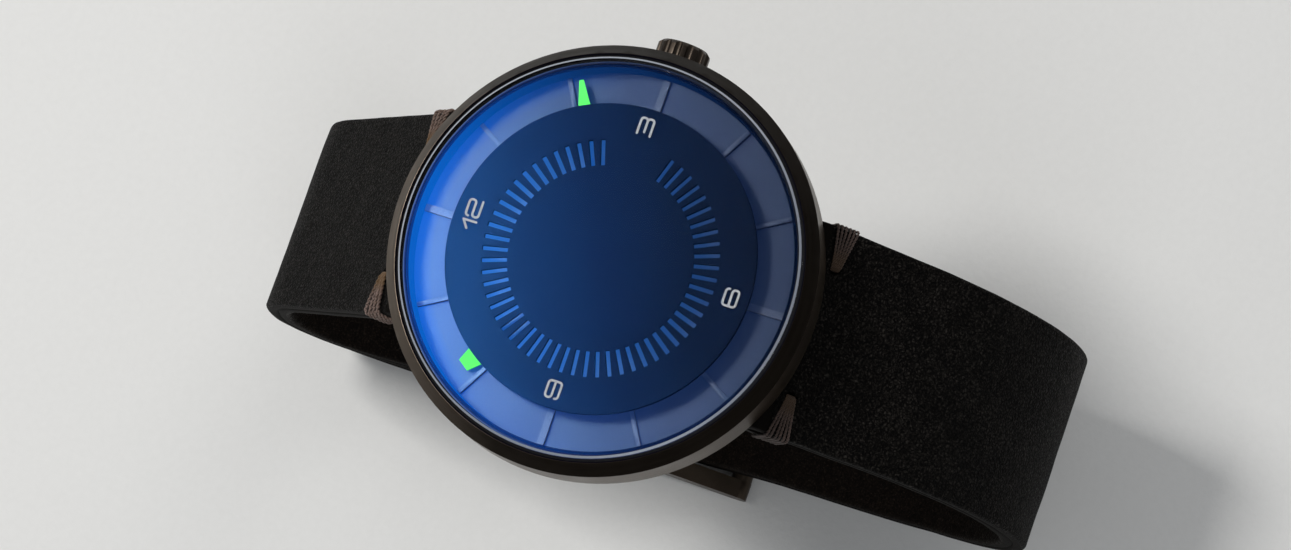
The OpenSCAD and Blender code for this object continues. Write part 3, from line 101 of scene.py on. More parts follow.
class Finish:
    """A material on one Principled shader, whose inputs are numbers, colours or the outputs of nodes."""

    def __init__(self, name):
        self.material = bpy.data.materials.new(name)
        self.material.use_nodes = True
        self.tree = self.material.node_tree
        self.shader = self.tree.nodes["Principled BSDF"]
        self.place = self.add("TexCoord").outputs["Object"]

    def set(self, socket, value):
        if isinstance(value, bpy.types.NodeSocket):
            self.tree.links.new(value, socket)
        elif isinstance(value, tuple) and len(value) == 3 and len(socket.default_value) == 4:
            socket.default_value = (*value, 1)
        else:
            socket.default_value = value

    def add(self, kind, inputs=(), **settings):
        node = self.tree.nodes.new("ShaderNode" + kind)
        for key, value in settings.items():
            setattr(node, key, value)
        for key, value in dict(inputs).items():
            self.set(node.inputs[key], value)
        return node

    def shade(self, **inputs):
        for key, value in inputs.items():
            self.set(self.shader.inputs[SOCKETS[key]], value)
        return self.material

    def math(self, operation, a, b=0.0):
        return self.add("Math", {0: a, 1: b}, operation=operation).outputs[0]

    def plus(self, a, b):
        return self.math("ADD", a, b)

    def times(self, a, b):
        return self.math("MULTIPLY", a, b)

    def above(self, value, limit):
        """1 where value is over the limit, 0 elsewhere."""
        return self.math("GREATER_THAN", value, limit)

    def below(self, value, limit):
        """1 where value is under the limit, 0 elsewhere."""
        return self.math("LESS_THAN", value, limit)

    def axes(self):
        """x, y and z of the place, in metres."""
        return tuple(self.add("SeparateXYZ", {"Vector": self.place}).outputs)

    def along(self, x_share, y_share):
        """How far the place lies in a flat direction, in metres."""
        x, y, _ = self.axes()
        return self.plus(self.times(x, x_share), self.times(y, y_share))

    def scaled(self, x, y, z):
        return self.add("Mapping", {"Vector": self.place, "Scale": (x, y, z)}).outputs[0]

    def noise(self, scale, detail=3.0, rough=0.55, vector=None):
        return self.add("TexNoise", {"Vector": vector or self.place, "Scale": scale, "Detail": detail,
                                     "Roughness": rough}).outputs["Fac"]

    def cells(self, scale, feature="F1", vector=None, random=1.0):
        return self.add("TexVoronoi", {"Vector": vector or self.place, "Scale": scale, "Randomness": random},
                        feature=feature).outputs["Distance"]

    def spread(self, value, low, high, out_low, out_high):
        """Takes low to high to out_low to out_high, and holds what lies beyond."""
        return self.add("MapRange", {"Value": value, "From Min": low, "From Max": high, "To Min": out_low,
                                     "To Max": out_high}).outputs["Result"]

    def between(self, value, low, high):
        """Takes a noise's usual span, 0.3 to 0.7, to low and high."""
        return self.spread(value, 0.3, 0.7, low, high)

    def ramp(self, value, stops):
        """stops are (place from 0 to 1, colour)."""
        node = self.add("ValToRGB", {"Fac": value})
        marks = node.color_ramp.elements
        while len(marks) < len(stops):
            marks.new(0.5)
        for mark, (at, colour) in zip(marks, stops):
            mark.position = at
            mark.color = (*colour, 1)
        return node.outputs["Color"]

    def mix(self, share, a, b, blend="MIX"):
        """a where share is 0, b where it is 1."""
        node = self.add("Mix", data_type="RGBA", blend_type=blend)
        for i, value in ((0, share), (6, a), (7, b)):
            self.set(node.inputs[i], value)
        return node.outputs[2]

    def varied(self, colour, value, low=0.8):
        """The colour, darkened to low of itself where value is small."""
        return self.mix(1.0, colour, self.ramp(value, [(0.3, (low, low, low)), (0.7, (1, 1, 1))]), "MULTIPLY")

    def bump(self, height, distance, strength=1.0):
        """Relief of the height, distance metres deep."""
        return self.add("Bump", {"Height": height, "Distance": distance,
                                 "Strength": strength}).outputs["Normal"]

    def radius(self):
        """Distance from the dial's axis, in metres."""
        x, y, _ = self.axes()
        return self.math("SQRT", self.plus(self.times(x, x), self.times(y, y)))

    def turned(self, along, across):
        """Coordinates for marks that run in circles round the dial's axis: along is their number per radian,
        and across their number per metre outward and upward."""
        r = self.radius()
        x, y, z = self.axes()
        return self.add("CombineXYZ", {"X": self.times(self.math("DIVIDE", x, r), along),
                                       "Y": self.times(self.math("DIVIDE", y, r), along),
                                       "Z": self.times(self.plus(r, z), across)}).outputs[0]


def facing_up(f, limit):
    """1 where the face's normal has more than limit of its length upward."""
    up = f.add("SeparateXYZ", {"Vector": f.add("NewGeometry").outputs["Normal"]}).outputs["Z"]
    return f.above(up, limit)


def coated(name, marks, colour=(0.084, 0.065, 0.049), bezel=False):
    """Brushed metal under a dark coating, a little worn along its edges. marks makes the brushing's
    coordinates. On the bezel's top, light and shade are painted: it is palest towards 11 o'clock and
    darker away from it. It isn't worn beside the crystal, and below it is painted black as painted shade."""
    f = Finish(name)
    lines = f.noise(1.0, 4.0, 0.6, marks(f))
    cloud = f.noise(260.0, 2.0)
    edge = f.spread(f.add("NewGeometry").outputs["Pointiness"], 0.56, 0.68, 0.0, 0.35)
    dark = tuple(0.78 * c for c in colour)
    base = f.mix(f.between(lines, 0.0, 1.0), dark, colour)
    base = f.mix(f.spread(cloud, 0.35, 0.65, 0.0, 0.25), base, tuple(1.18 * c for c in colour))
    if bezel:
        r = f.radius()
        edge = f.times(edge, f.above(r, WEAR_FROM))
    base = f.mix(edge, base, tuple(2.0 * c for c in colour))
    if bezel:
        # Painted light and shade: upward faces palest towards 11 o'clock, darker away from it
        toward = f.math("DIVIDE", f.along(-0.342, 0.940), r)
        tone = f.ramp(toward, [(0.0, (0.16, 0.16, 0.16)), (0.5, (0.22, 0.21, 0.20)),
                               (0.85, (1.0, 1.0, 1.0)), (1.0, (1.3, 1.3, 1.3))])
        base = f.mix(facing_up(f, 0.5), base, f.mix(1.0, base, tone, "MULTIPLY"))
        # Painted shade: the case's inside under the crystal is black
        inside = f.times(f.below(r, LEDGE_R), f.above(f.axes()[2], LEDGE_Z))
        base = f.mix(inside, base, (0.001, 0.001, 0.002))
    rough = f.plus(f.between(lines, 0.30, 0.46), f.between(cloud, -0.03, 0.04))
    return f.shade(base=base, metal=1.0, rough=rough, normal=f.bump(lines, 0.000004, 0.6))


case_metal = coated("case_metal", lambda f: f.turned(2.5, 26000), bezel=True)
crown_metal = coated("crown_metal", lambda f: f.scaled(3000, 14000, 14000), (0.045, 0.036, 0.029))
buckle_metal = coated("buckle_metal", lambda f: f.scaled(16000, 700, 16000))


def glass(name, tint, chamfer=None):
    """Clear coated sapphire that lets lamps through. chamfer is the radius and height beyond which it is
    ground."""
    f = Finish(name)
    f.shade(base=tint, ior=1.1, glass=1.0, rough=0.0)
    clear = f.shader.outputs["BSDF"]
    if chamfer:
        r, z = chamfer
        outside = f.times(f.above(f.radius(), r), f.above(f.axes()[2], z))
        haze = f.noise(9000.0, 2.0)
        ground = f.add("BsdfPrincipled", {"Base Color": (0.50, 0.54, 0.62), "Metallic": 0.85,
                                          "Roughness": f.between(haze, 0.28, 0.34)})
        clear = f.add("MixShader", {0: outside, 1: clear, 2: ground.outputs["BSDF"]}).outputs[0]
    shadow = f.add("LightPath").outputs["Is Shadow Ray"]
    through = f.add("BsdfTransparent", {"Color": (0.95, 0.96, 0.98)})
    mixed = f.add("MixShader", {0: shadow, 1: clear, 2: through.outputs["BSDF"]})
    f.set(f.tree.nodes["Material Output"].inputs["Surface"], mixed.outputs[0])
    return f.material


crystal_glass = glass("crystal_glass", (0.98, 0.99, 1.0), (GROUND_R, GROUND_Z))
window_glass = glass("window_glass", (0.99, 0.99, 0.99))


def across_dial(f):
    """0 at 5 o'clock to 1 at 11 o'clock on the dial's edge, a little uneven."""
    uneven = f.spread(f.noise(60.0, 1.0), 0.0, 1.0, -0.001, 0.001)
    return f.spread(f.plus(f.along(-0.45, 0.893), uneven), -DIAL_REACH, DIAL_REACH, 0.0, 1.0)


def painted_rim_glow(f, side):
    """Painted dark blue glow under the crystal's rim, for light that the dial throws there, paler towards 11
    o'clock.
    """
    return f.ramp(side, [(0.1, (0.0, 0.001, 0.006)), (0.48, (0.001, 0.007, 0.042)),
                         (0.94, (0.002, 0.030, 0.190))])


def rubber(name, under_crystal=False):
    """Black rubber. Under the crystal its foot has painted blue glow, with a paler painted glowing line where
    it ends.
    """
    f = Finish(name)
    grain = f.noise(9000.0, 3.0)
    base = f.mix(grain, (0.006, 0.006, 0.007), (0.014, 0.014, 0.015))
    if under_crystal:
        side, r = across_dial(f), f.radius()
        # Painted light: glow on the foot and its line, paler towards 11 o'clock
        pale = f.ramp(side, [(0.1, (0.004, 0.008, 0.018)), (0.48, (0.015, 0.035, 0.100)),
                             (0.94, (0.060, 0.125, 0.330))])
        blue = f.mix(f.below(r, FOOT_R), (0.0, 0.0, 0.0), painted_rim_glow(f, side))
        line = f.times(f.above(r, FOOT_R), f.below(r, LINE_R))
        f.shade(glow=f.mix(line, blue, pale), glow_strength=1.0)
    return f.shade(base=base, spec=0.0, rough=f.between(grain, 0.45, 0.65),
                   normal=f.bump(grain, 0.000006))


def flange():
    """Wall round the dial: painted navy glow on top, and painted blue glow on its wall for the dial's light.
    """
    f = Finish("flange_blue")
    grain = f.noise(5000.0, 3.0)
    side = across_dial(f)
    # Painted light: the wall's glow and the dark base are both paler towards 11 o'clock
    painted_wall_glow = f.ramp(side, [(0.10, (0.001, 0.006, 0.025)), (0.48, (0.002, 0.028, 0.130)),
                         (0.72, (0.002, 0.062, 0.300)), (0.94, (0.002, 0.112, 0.540))])
    base = f.varied(f.ramp(side, [(0.1, (0.001, 0.003, 0.010)), (0.9, (0.002, 0.008, 0.030))]), grain)
    return f.shade(base=base, spec=0.0, rough=f.between(grain, 0.30, 0.42),
                   glow=f.mix(facing_up(f, 0.6), painted_wall_glow, painted_rim_glow(f, side)), glow_strength=1.0,
                   normal=f.bump(grain, 0.000002))


def blue_dial():
    """Satin blue with a painted glow, painted paler towards 11 o'clock as painted light. Under the disc's
    slots the painted glow is strongest, standing in for light through them, and close inside the rim at
    12 o'clock it is darkened by a painted shadow, with a stronger painted glow there."""
    f = Finish("dial_blue")
    side = across_dial(f)
    # Painted light: the blue is paler towards 11 o'clock
    tone = f.ramp(side, [(0.04, (0.022, 0.031, 0.050)), (0.17, (0.027, 0.038, 0.062)),
                         (0.38, (0.037, 0.054, 0.090)), (0.62, (0.056, 0.096, 0.160)),
                         (0.84, (0.075, 0.135, 0.228)), (0.97, (0.083, 0.168, 0.300))])
    grain = f.noise(16000.0, 2.0, 0.6)
    cloud = f.noise(120.0, 2.0)
    base = f.varied(f.varied(tone, grain, 0.86), cloud, 0.93)
    r = f.radius()
    # Painted shadow of the rim, close inside it towards 12 o'clock
    painted_rim_shadow = f.times(f.spread(f.along(0.165, 0.986), 0.004, 0.013, 0.0, 1.0),
                     f.spread(r, 0.0161, 0.0170, 0.0, 1.0))
    base = f.mix(f.times(painted_rim_shadow, 0.55), base, (0.0, 0.0, 0.0))
    # Painted glow: all over, stronger in the painted shadow near the rim, strongest under the slots
    painted_glow_near_rim = f.ramp(side, [(0.04, (0.0, 0.006, 0.035)), (0.38, (0.0, 0.018, 0.100)),
                             (0.62, (0.0, 0.045, 0.260)), (0.84, (0.0, 0.086, 0.490)),
                             (0.97, (0.0, 0.110, 0.610))])
    ring = f.ramp(side, [(0.04, (0.0, 0.004, 0.025)), (0.17, (0.0, 0.006, 0.035)),
                         (0.38, (0.0, 0.010, 0.060)), (0.62, (0.0, 0.018, 0.130)),
                         (0.84, (0.0, 0.032, 0.240)), (0.97, (0.0, 0.040, 0.310))])
    slots = f.ramp(side, [(0.2, (0.008, 0.034, 0.115)), (0.5, (0.012, 0.085, 0.310)),
                          (0.8, (0.020, 0.150, 0.540))])
    return f.shade(base=base, spec=0.02, rough=f.between(grain, 0.36, 0.50),
                   glow=f.mix(f.below(r, SLOT_GLOW_R), f.mix(painted_rim_shadow, ring, painted_glow_near_rim), slots),
                   glow_strength=1.0, normal=f.bump(grain, 0.0000015))


def blue_disc():
    """Deep satin blue, painted paler towards 11 o'clock as painted light, with very fine blasting."""
    f = Finish("disc_blue")
    # Painted light: paler towards 11 o'clock
    tone = f.ramp(across_dial(f), [(0.12, (0.0008, 0.0042, 0.015)), (0.3, (0.0010, 0.0066, 0.025)),
                                   (0.5, (0.0016, 0.0115, 0.048)), (0.7, (0.0032, 0.0225, 0.085)),
                                   (0.88, (0.0060, 0.0380, 0.132))])
    grain = f.noise(22000.0, 2.0, 0.6)
    return f.shade(base=f.varied(tone, grain, 0.88), spec=0.01,
                   rough=f.between(grain, 0.42, 0.55), normal=f.bump(grain, 0.0000012))


def printed():
    """Pale grey print."""
    f = Finish("numeral_grey")
    grain = f.noise(9000.0, 3.0)
    base = f.mix(grain, (0.19, 0.193, 0.195), (0.25, 0.253, 0.255))
    return f.shade(base=base, rough=f.between(grain, 0.45, 0.6), normal=f.bump(grain, 0.000003))


def bars():
    """Satin top in the dial's blue with painted glow, paler towards 11 o'clock as painted light, between
    flanks painted dark as painted shade.
    """
    f = Finish("bar_blue")
    top = facing_up(f, 0.75)
    lines = f.noise(1.0, 3.0, 0.6, f.scaled(9000, 9000, 2000))
    side = across_dial(f)
    # Painted light on the tops, paler towards 11 o'clock, with painted glow; flanks painted dark as painted
    # shade
    tone = f.ramp(side, [(0.04, (0.028, 0.039, 0.062)), (0.38, (0.046, 0.070, 0.115)),
                         (0.70, (0.073, 0.130, 0.215)), (0.97, (0.098, 0.195, 0.340))])
    glow = f.ramp(side, [(0.04, (0.0, 0.003, 0.020)), (0.38, (0.0, 0.008, 0.050)),
                         (0.97, (0.0, 0.034, 0.260))])
    return f.shade(base=f.mix(top, (0.003, 0.006, 0.020), f.varied(tone, lines, 0.8)), spec=0.1,
                   rough=f.between(lines, 0.26, 0.40), glow=f.mix(top, (0.0, 0.0, 0.002), glow),
                   glow_strength=1.0, normal=f.bump(lines, 0.000002))


def hand_blue():
    """Brushed blue of the hands' inner lengths, with a painted blue glow."""
    f = Finish("hand_blue")
    lines = f.noise(1.0, 3.0, 0.6, f.scaled(9000, 9000, 2000))
    base = f.mix(lines, (0.05, 0.12, 0.28), (0.08, 0.18, 0.38))
    # Painted glow
    return f.shade(base=base, spec=0.1, rough=0.4, glow=(0.0, 0.06, 0.26), glow_strength=1.0,
                   normal=f.bump(lines, 0.000002))


def lume():
    """Rough luminous green."""
    f = Finish("lume_green")
    grain = f.noise(11000.0, 3.0, 0.7)
    base = f.mix(grain, (0.030, 0.40, 0.045), (0.075, 0.62, 0.095))
    return f.shade(base=base, rough=0.8, spec=0.15, glow=(0.05, 0.42, 0.07), glow_strength=1.0,
                   normal=f.bump(grain, 0.00001))


def plate(name, colour, stripes):
    """Nickel-plated metal. stripes is the width of its decoration's bands in metres, or 0 for round spots."""
    f = Finish(name)
    if stripes:
        slanted = f.add("Mapping", {"Vector": f.place, "Rotation": (0, 0, 0.6)}).outputs[0]
        across = f.add("SeparateXYZ", {"Vector": slanted}).outputs["X"]
        saw = f.math("FRACT", f.math("DIVIDE", across, stripes))
        lines = f.noise(1.0, 3.0, 0.6, f.scaled(2500, 26000, 1000))
        relief = f.bump(f.plus(saw, f.times(lines, 0.35)), 0.00003, 0.8)
        tone = saw
    else:
        spots = f.cells(1250.0, "F1", random=0.25)
        rings = f.math("SINE", f.times(spots, 60.0))
        lines = f.noise(9000.0, 2.0)
        relief = f.bump(f.plus(rings, f.times(spots, -3.0)), 0.000006, 0.8)
        tone = f.spread(spots, 0.0, 0.7, 1.0, 0.0)
    base = f.mix(tone, tuple(0.72 * c for c in colour), colour)
    return f.shade(base=base, metal=1.0, rough=f.between(lines, 0.20, 0.34), normal=relief)


def metal(name, low, high, rough=(0.18, 0.34)):
    """Plain fine-grained metal between two colours."""
    f = Finish(name)
    lines = f.noise(1.0, 4.0, 0.6, f.scaled(9000, 9000, 9000))
    cloud = f.noise(500.0, 2.0)
    base = f.mix(lines, low, high)
    base = f.mix(f.spread(cloud, 0.35, 0.65, 0.0, 0.2), base, low)
    return f.shade(base=base, metal=1.0, rough=f.between(lines, *rough), normal=f.bump(lines, 0.000003))


def turned_metal(name, low, high):
    """Metal between two colours, with fine marks in circles round the dial's axis."""
    f = Finish(name)
    lines = f.noise(1.0, 4.0, 0.6, f.turned(2.5, 30000))
    return f.shade(base=f.mix(lines, low, high), metal=1.0, rough=f.between(lines, 0.2, 0.36),
                   normal=f.bump(lines, 0.000003))


def ruby():
    """Polished pink stone of the bearings."""
    f = Finish("ruby")
    grain = f.noise(4000.0, 2.0)
    return f.shade(base=f.mix(grain, (0.35, 0.004, 0.03), (0.62, 0.012, 0.07)), rough=0.12, coat=0.6,
                   coat_rough=0.05, normal=f.bump(grain, 0.000001))


def leather(name, tones, grain_size, depth):
    """Fine-grained leather: uneven pebbles between furrows, with specks and soft wrinkles. The furrows are
    painted dark as painted shade, and raised specks and wrinkles painted lighter as painted highlight.
    tones are the colours of furrows, low, middle and the lightest raised places."""
    f = Finish(name)
    drift = f.add("TexNoise", {"Vector": f.place, "Scale": 1700.0, "Detail": 3.0}).outputs["Color"]
    shift = f.add("VectorMath", {0: drift, 1: (0.00045, 0.00045, 0.00045)}, operation="MULTIPLY").outputs[0]
    bent = f.add("VectorMath", {0: f.place, 1: shift}, operation="ADD").outputs[0]
    furrow = f.spread(f.cells(grain_size, "DISTANCE_TO_EDGE", bent), 0.0, 0.24, 0.0, 1.0)
    pebble = f.cells(grain_size, "SMOOTH_F1", bent)
    speckle = f.noise(1.35 * grain_size, 2.0, 0.65, bent)
    fine = f.noise(9000.0, 3.0, 0.6)
    wrinkle = f.noise(1300.0, 4.0, 0.6, bent)
    soft = f.noise(300.0, 3.0, 0.5)
    height = f.plus(f.times(furrow, 0.50), f.times(pebble, -0.45))
    height = f.plus(height, f.times(speckle, 1.2))
    height = f.plus(height, f.times(fine, 0.18))
    height = f.plus(height, f.times(wrinkle, 1.9))
    mark = f.plus(f.times(speckle, 0.78), f.times(wrinkle, 0.22))
    mark = f.plus(mark, f.between(soft, -0.03, 0.03))
    # Painted highlight: raised specks and wrinkles lighter
    base = f.ramp(mark, list(zip((0.40, 0.47, 0.54, 0.64), tones)))
    # Painted shade: furrows darkened
    base = f.mix(f.spread(furrow, 0.0, 1.0, 0.85, 0.0), base, tones[0])
    rough = f.plus(f.spread(furrow, 0.0, 1.0, 0.75, 0.50), f.between(fine, -0.05, 0.07))
    return f.shade(base=base, rough=rough, spec=0.05, normal=f.bump(height, depth))


def edge_paint():
    """Rubbed and painted black cut edge, made near black as painted shade on its side."""
    f = Finish("strap_edge")
    grain = f.noise(2600.0, 3.0)
    fine = f.noise(12000.0, 2.0)
    # Near black: edge paint, and painted shade
    base = f.mix(grain, (0.0022, 0.0018, 0.0015), (0.0060, 0.0048, 0.0040))
    height = f.plus(grain, f.times(fine, 0.3))
    return f.shade(base=base, spec=0.02, rough=f.between(fine, 0.55, 0.70),
                   normal=f.bump(height, 0.00003, 0.8))


def waxed_thread():
    """Brown waxed thread, with painted warm light near its holes and painted shade on the 6 o'clock side."""
    f = Finish("thread")
    fibre = f.noise(1.0, 3.0, 0.6, f.scaled(9000, 5000, 9000))
    cloud = f.noise(900.0, 2.0)
    base = f.mix(f.spread(fibre, 0.35, 0.65, 0.0, 1.0), (0.050, 0.032, 0.025), (0.240, 0.165, 0.140))
    base = f.mix(f.spread(cloud, 0.35, 0.65, 0.0, 0.4), base, (0.075, 0.040, 0.022))
    x, y, _ = f.axes()
    # Painted warm light near the holes
    base = f.mix(f.spread(f.math("ABSOLUTE", x), 0.0072, 0.0082, 0.8, 0.0), base, (0.110, 0.058, 0.016))
    # Painted shade on the 6 o'clock side
    painted_shade_6_side = f.mix(f.spread(y, -0.01, 0.01, 0.0, 1.0), (0.36, 0.32, 0.30), (1, 1, 1))
    base = f.mix(1.0, base, painted_shade_6_side, "MULTIPLY")
    return f.shade(base=base, rough=0.62, spec=0.35, sheen=0.1, sheen_rough=0.5,
                   normal=f.bump(fibre, 0.00004))


def pale_floor():
    """Plain pale card."""
    f = Finish("floor")
    grain = f.noise(1400.0, 3.0)
    base = f.mix(grain, (0.70, 0.70, 0.69), (0.74, 0.74, 0.73))
    return f.shade(base=base, rough=0.7, spec=0.2, normal=f.bump(grain, 0.00004))


brass = metal("wheel_brass", (0.62, 0.40, 0.14), (0.85, 0.62, 0.28))
steel = metal("works_steel", (0.42, 0.42, 0.43), (0.66, 0.66, 0.67))
blued = metal("blued_steel", (0.010, 0.025, 0.20), (0.03, 0.08, 0.42), rough=(0.12, 0.22))
plate_stripes = plate("plate_stripes", (0.70, 0.68, 0.64), 0.0014)
rotor_stripes = plate("rotor_stripes", (0.66, 0.64, 0.60), 0.0017)
weight = turned_metal("weight_metal", (0.20, 0.19, 0.18), (0.36, 0.34, 0.31))
ring_metal = turned_metal("ring_metal", (0.50, 0.49, 0.46), (0.68, 0.66, 0.62))
rubber_black = rubber("black_rubber")
edge = edge_paint()
top_leather = leather("strap_leather", ((0.0004, 0.0003, 0.0003), (0.0018, 0.0015, 0.0012),
                                        (0.0092, 0.0079, 0.0066), (0.0230, 0.0205, 0.0180)), 3000.0, 0.00012)
lining = leather("strap_lining", ((0.0030, 0.0021, 0.0015), (0.0065, 0.0046, 0.0034),
                                  (0.0120, 0.0084, 0.0062), (0.0220, 0.0155, 0.0115)), 3600.0, 0.00005)
thread = waxed_thread()

# Finishes of a strap's or a keeper's faces, and their places
STRAP_FINISHES = (top_leather, edge, lining)
OUTSIDE, CUT, INSIDE = range(3)

FINISHES = {
    "case_middle": case_metal, "case_back": case_metal, "back_screws": steel, "crown": crown_metal,
    "buckle_frame": buckle_metal, "buckle_tang": buckle_metal, "buckle_bar": steel, "strap_bars": steel,
    "crystal": crystal_glass, "back_window": window_glass,
    "crystal_gasket": rubber("crystal_rubber", True), "back_gasket": rubber_black,
    "crown_gasket": rubber_black,
    "flange_ring": flange(), "centre_disc": blue_disc(), "disc_numerals": printed(), "dial": blue_dial(),
    "hour_bars": bars(), "hour_hand": hand_blue(), "hour_tip": lume(),
    "mainplate": plate("plate_spots", (0.66, 0.63, 0.58), 0), "movement_ring": ring_metal,
    "barrel_bridge": plate_stripes, "train_bridge": plate_stripes, "balance_cock": plate_stripes,
    "rotor_bridge": ring_metal,
    "rotor": rotor_stripes, "rotor_weight": weight, "rotor_bearing": steel,
    "bridge_screws": blued, "hairspring": blued, "jewels": ruby(),
}
FINISHES["minute_hand"] = FINISHES["hour_hand"]
FINISHES["minute_tip"] = FINISHES["hour_tip"]
for name in ("hour_wheel", "minute_wheel", "barrel", "centre_wheel", "third_wheel", "fourth_wheel",
             "balance_wheel", "reduction_wheel"):
    FINISHES[name] = brass

for name, node in nodes.items():
    for slot in node.material_slots:
        slot.material = FINISHES.get(name, steel)

# Rounded edges of the nodes whose edges show: name, radius in mm
EDGES = {"case_middle": 0.10, "crown": 0.05, "case_back": 0.10, "buckle_frame": 0.30, "buckle_tang": 0.22,
         "hour_bars": 0.05, "rotor_weight": 0.08, "barrel_bridge": 0.07, "train_bridge": 0.07,
         "balance_cock": 0.07, "back_screws": 0.05, "bridge_screws": 0.03, "centre_disc": 0.03}
for name, size in EDGES.items():
    node = nodes[name]
    custom = node.data.attributes.get("custom_normal")
    if custom:
        node.data.attributes.remove(custom)
    node.data.shade_smooth()
    weld = node.modifiers.new("weld", "WELD")
    weld.merge_threshold = 1e-6
    bevel = node.modifiers.new("bevel", "BEVEL")
    bevel.width = size * MM
    bevel.segments = 3
    bevel.limit_method = "ANGLE"
    bevel.angle_limit = math.radians(28)
    bevel.use_clamp_overlap = True
    flat = node.modifiers.new("flat", "WEIGHTED_NORMAL")
    flat.keep_sharp = False
    flat.weight = 60


# Strap, in mm. y is 0 below the dial's middle, and z is 0 where the loop stands
LOOP_Z, LOOP_MIDDLE = -44.1, 20                 # where that is in the shared frame; half-way up the loop
STRAP_T, EDGE_R = 2.6, 0.42
BAR_Y, BAR_Z, BAR_R = 17.4, 46.8, 0.86          # bars at the case, with their holes' radius
EYE_R, EYE_END, LUG_HALF = 2.2, 9.98, 4.2       # leather turned round them, beside the lug
FOLD_Y, FLAT_Y = 39.9, 28.09                    # the bent ends of the loop, and where it lies flat below
HALF_AT_BAR, HALF_BELOW = 10, 9                 # half-widths, and their change towards the fold
NARROWS_TO_FOLD, WIDENS_TO_FOLD = 0.4, 0.6
HINGE_Y, HINGE_Z, PIN_R = 8.0, 5.6, 0.8         # the buckle's bar
THROUGH = 12                                    # half-length of a cut right through the width
HOLE_X = 6.1                                    # the stitches' holes, from the strap's middle
CASE_R = 20
STITCH_OUT_12, STITCH_OUT_6 = 1.4, -0.4         # along the strap from the case's outline to the stitches
PUNCH_Y, PUNCH_STEP = 5.9, 6                    # the buckle's hole, and the distance of the holes


class Path:
    """Side view of a strap half's outer face, as straight runs and arcs, in mm: y, z in the loop, heading."""

    def __init__(self, slope, runs):
        self.start = (BAR_Y + EYE_R * math.sin(slope), BAR_Z + EYE_R * math.cos(slope), -slope)
        self.pieces, at = [], 0.0
        y, z, h = self.start
        for size, turn in runs:
            length = size if turn == 0 else size * abs(turn)
            self.pieces.append((at, length, size, turn, (y, z, h)))
            y, z, h = self.along(self.pieces[-1], length)
            at += length
        self.length = at

    @staticmethod
    def along(piece, d):
        _, length, size, turn, (y, z, h) = piece
        if turn == 0:
            return y + d * math.cos(h), z + d * math.sin(h), h
        side = math.copysign(1, turn)
        new = h + turn * d / length
        arc = size * side
        return y + arc * (math.sin(new) - math.sin(h)), z - arc * (math.cos(new) - math.cos(h)), new

    def at(self, s):
        """y, z and heading at s along the outer face."""
        for piece in self.pieces:
            if s <= piece[0] + piece[1]:
                break
        return self.along(piece, s - piece[0])

    def bend(self, s):
        """Curvature at s, per mm, averaged over 3 mm so that it changes smoothly."""
        a, b = self.at(max(0, s - 1.5)), self.at(min(self.length, s + 1.5))
        return (b[2] - a[2]) / (min(self.length, s + 1.5) - max(0, s - 1.5))

    def point(self, x, s, w):
        """Point in the shared frame at x across, s along and w above the outer face, in metres."""
        y, z, h = self.at(min(max(s, 0.0), self.length))
        y, z = y - w * math.sin(h), z + w * math.cos(h)
        return Vector((x, y, z + LOOP_Z)) * MM


def radians_of(runs):
    """The runs with their turns in radians: each is (length, 0) or (radius, turn)."""
    return [(size, math.radians(turn)) for size, turn in runs]


# Each half runs from its bar down and round the fold. The 6 o'clock half then steps down by an S bend, runs
# under the other one and follows its fold.
path_12 = Path(math.radians(51), radians_of([(26.68, 0), (18, -39), (11.82, -90), (20.09, 0)]))
path_6 = Path(math.radians(28), radians_of([(9.82, 0), (24, -62), (18.64, -90), (7.19, 0), (15.82, 24.32),
                                           (15.82, -24.32), (29.09, 0), (14.62, -58)]))


def half_width(path, s):
    """Half the strap's width at s, in mm."""
    y, z, _ = path.at(s)
    if z > LOOP_MIDDLE and y > 0:
        return HALF_AT_BAR - NARROWS_TO_FOLD * min(max((y - BAR_Y) / (FOLD_Y - BAR_Y), 0), 1)
    return HALF_BELOW + WIDENS_TO_FOLD * min(max((y - FLAT_Y) / (FOLD_Y - FLAT_Y), 0), 1)


def finer(low, high, step, marks, reach=0.7, fine=0.16):
    """Values from low to high about step apart, and fine apart near the marks."""
    out, v = [low], low
    while v < high - 1e-6:
        close = any(abs(v - m) < reach or (v < m - reach < v + step) for m in marks)
        v = min(v + (fine if close else step), high)
        out.append(v)
    return out


def section():
    """Loop round the strap's section, with a groove between the two layers in each edge: (share of the
    half-width, mm inside the edge, mm below the outer face)."""
    r, quarter = EDGE_R, [i * math.pi / 8 for i in range(5)]
    side = [(1, r * (1 - math.sin(a)), r * (1 - math.cos(a))) for a in quarter]
    side += [(1, 0.0, 0.80), (1, 0.0, 1.12), (1, 0.10, 1.24), (1, 0.16, 1.30), (1, 0.10, 1.36),
             (1, 0.0, 1.48), (1, 0.0, 1.80)]
    side += [(1, r * (1 - math.cos(a)), STRAP_T - r * (1 - math.sin(a))) for a in quarter]
    across = finer(-0.925, 0.925, 0.075, (-HOLE_X / 9.5, HOLE_X / 9.5), 0.07, 0.016)[1:-1]
    below = [(x, 0.0, STRAP_T) for x in reversed(across)]
    return side + below + [(-1, e, d) for _, e, d in reversed(side)] + [(x, 0.0, 0.0) for x in across]


def mesh_object(name, points, faces, finishes, kinds=None):
    """A mesh in the scene. kinds are the faces' places in finishes."""
    mesh = bpy.data.meshes.new(name)
    mesh.from_pydata([tuple(p) for p in points], [], faces)
    for finish in finishes:
        mesh.materials.append(finish)
    if kinds:
        mesh.polygons.foreach_set("material_index", kinds)
    mesh.update()
    obj = bpy.data.objects.new(name, mesh)
    bpy.context.scene.collection.objects.link(obj)
    return obj


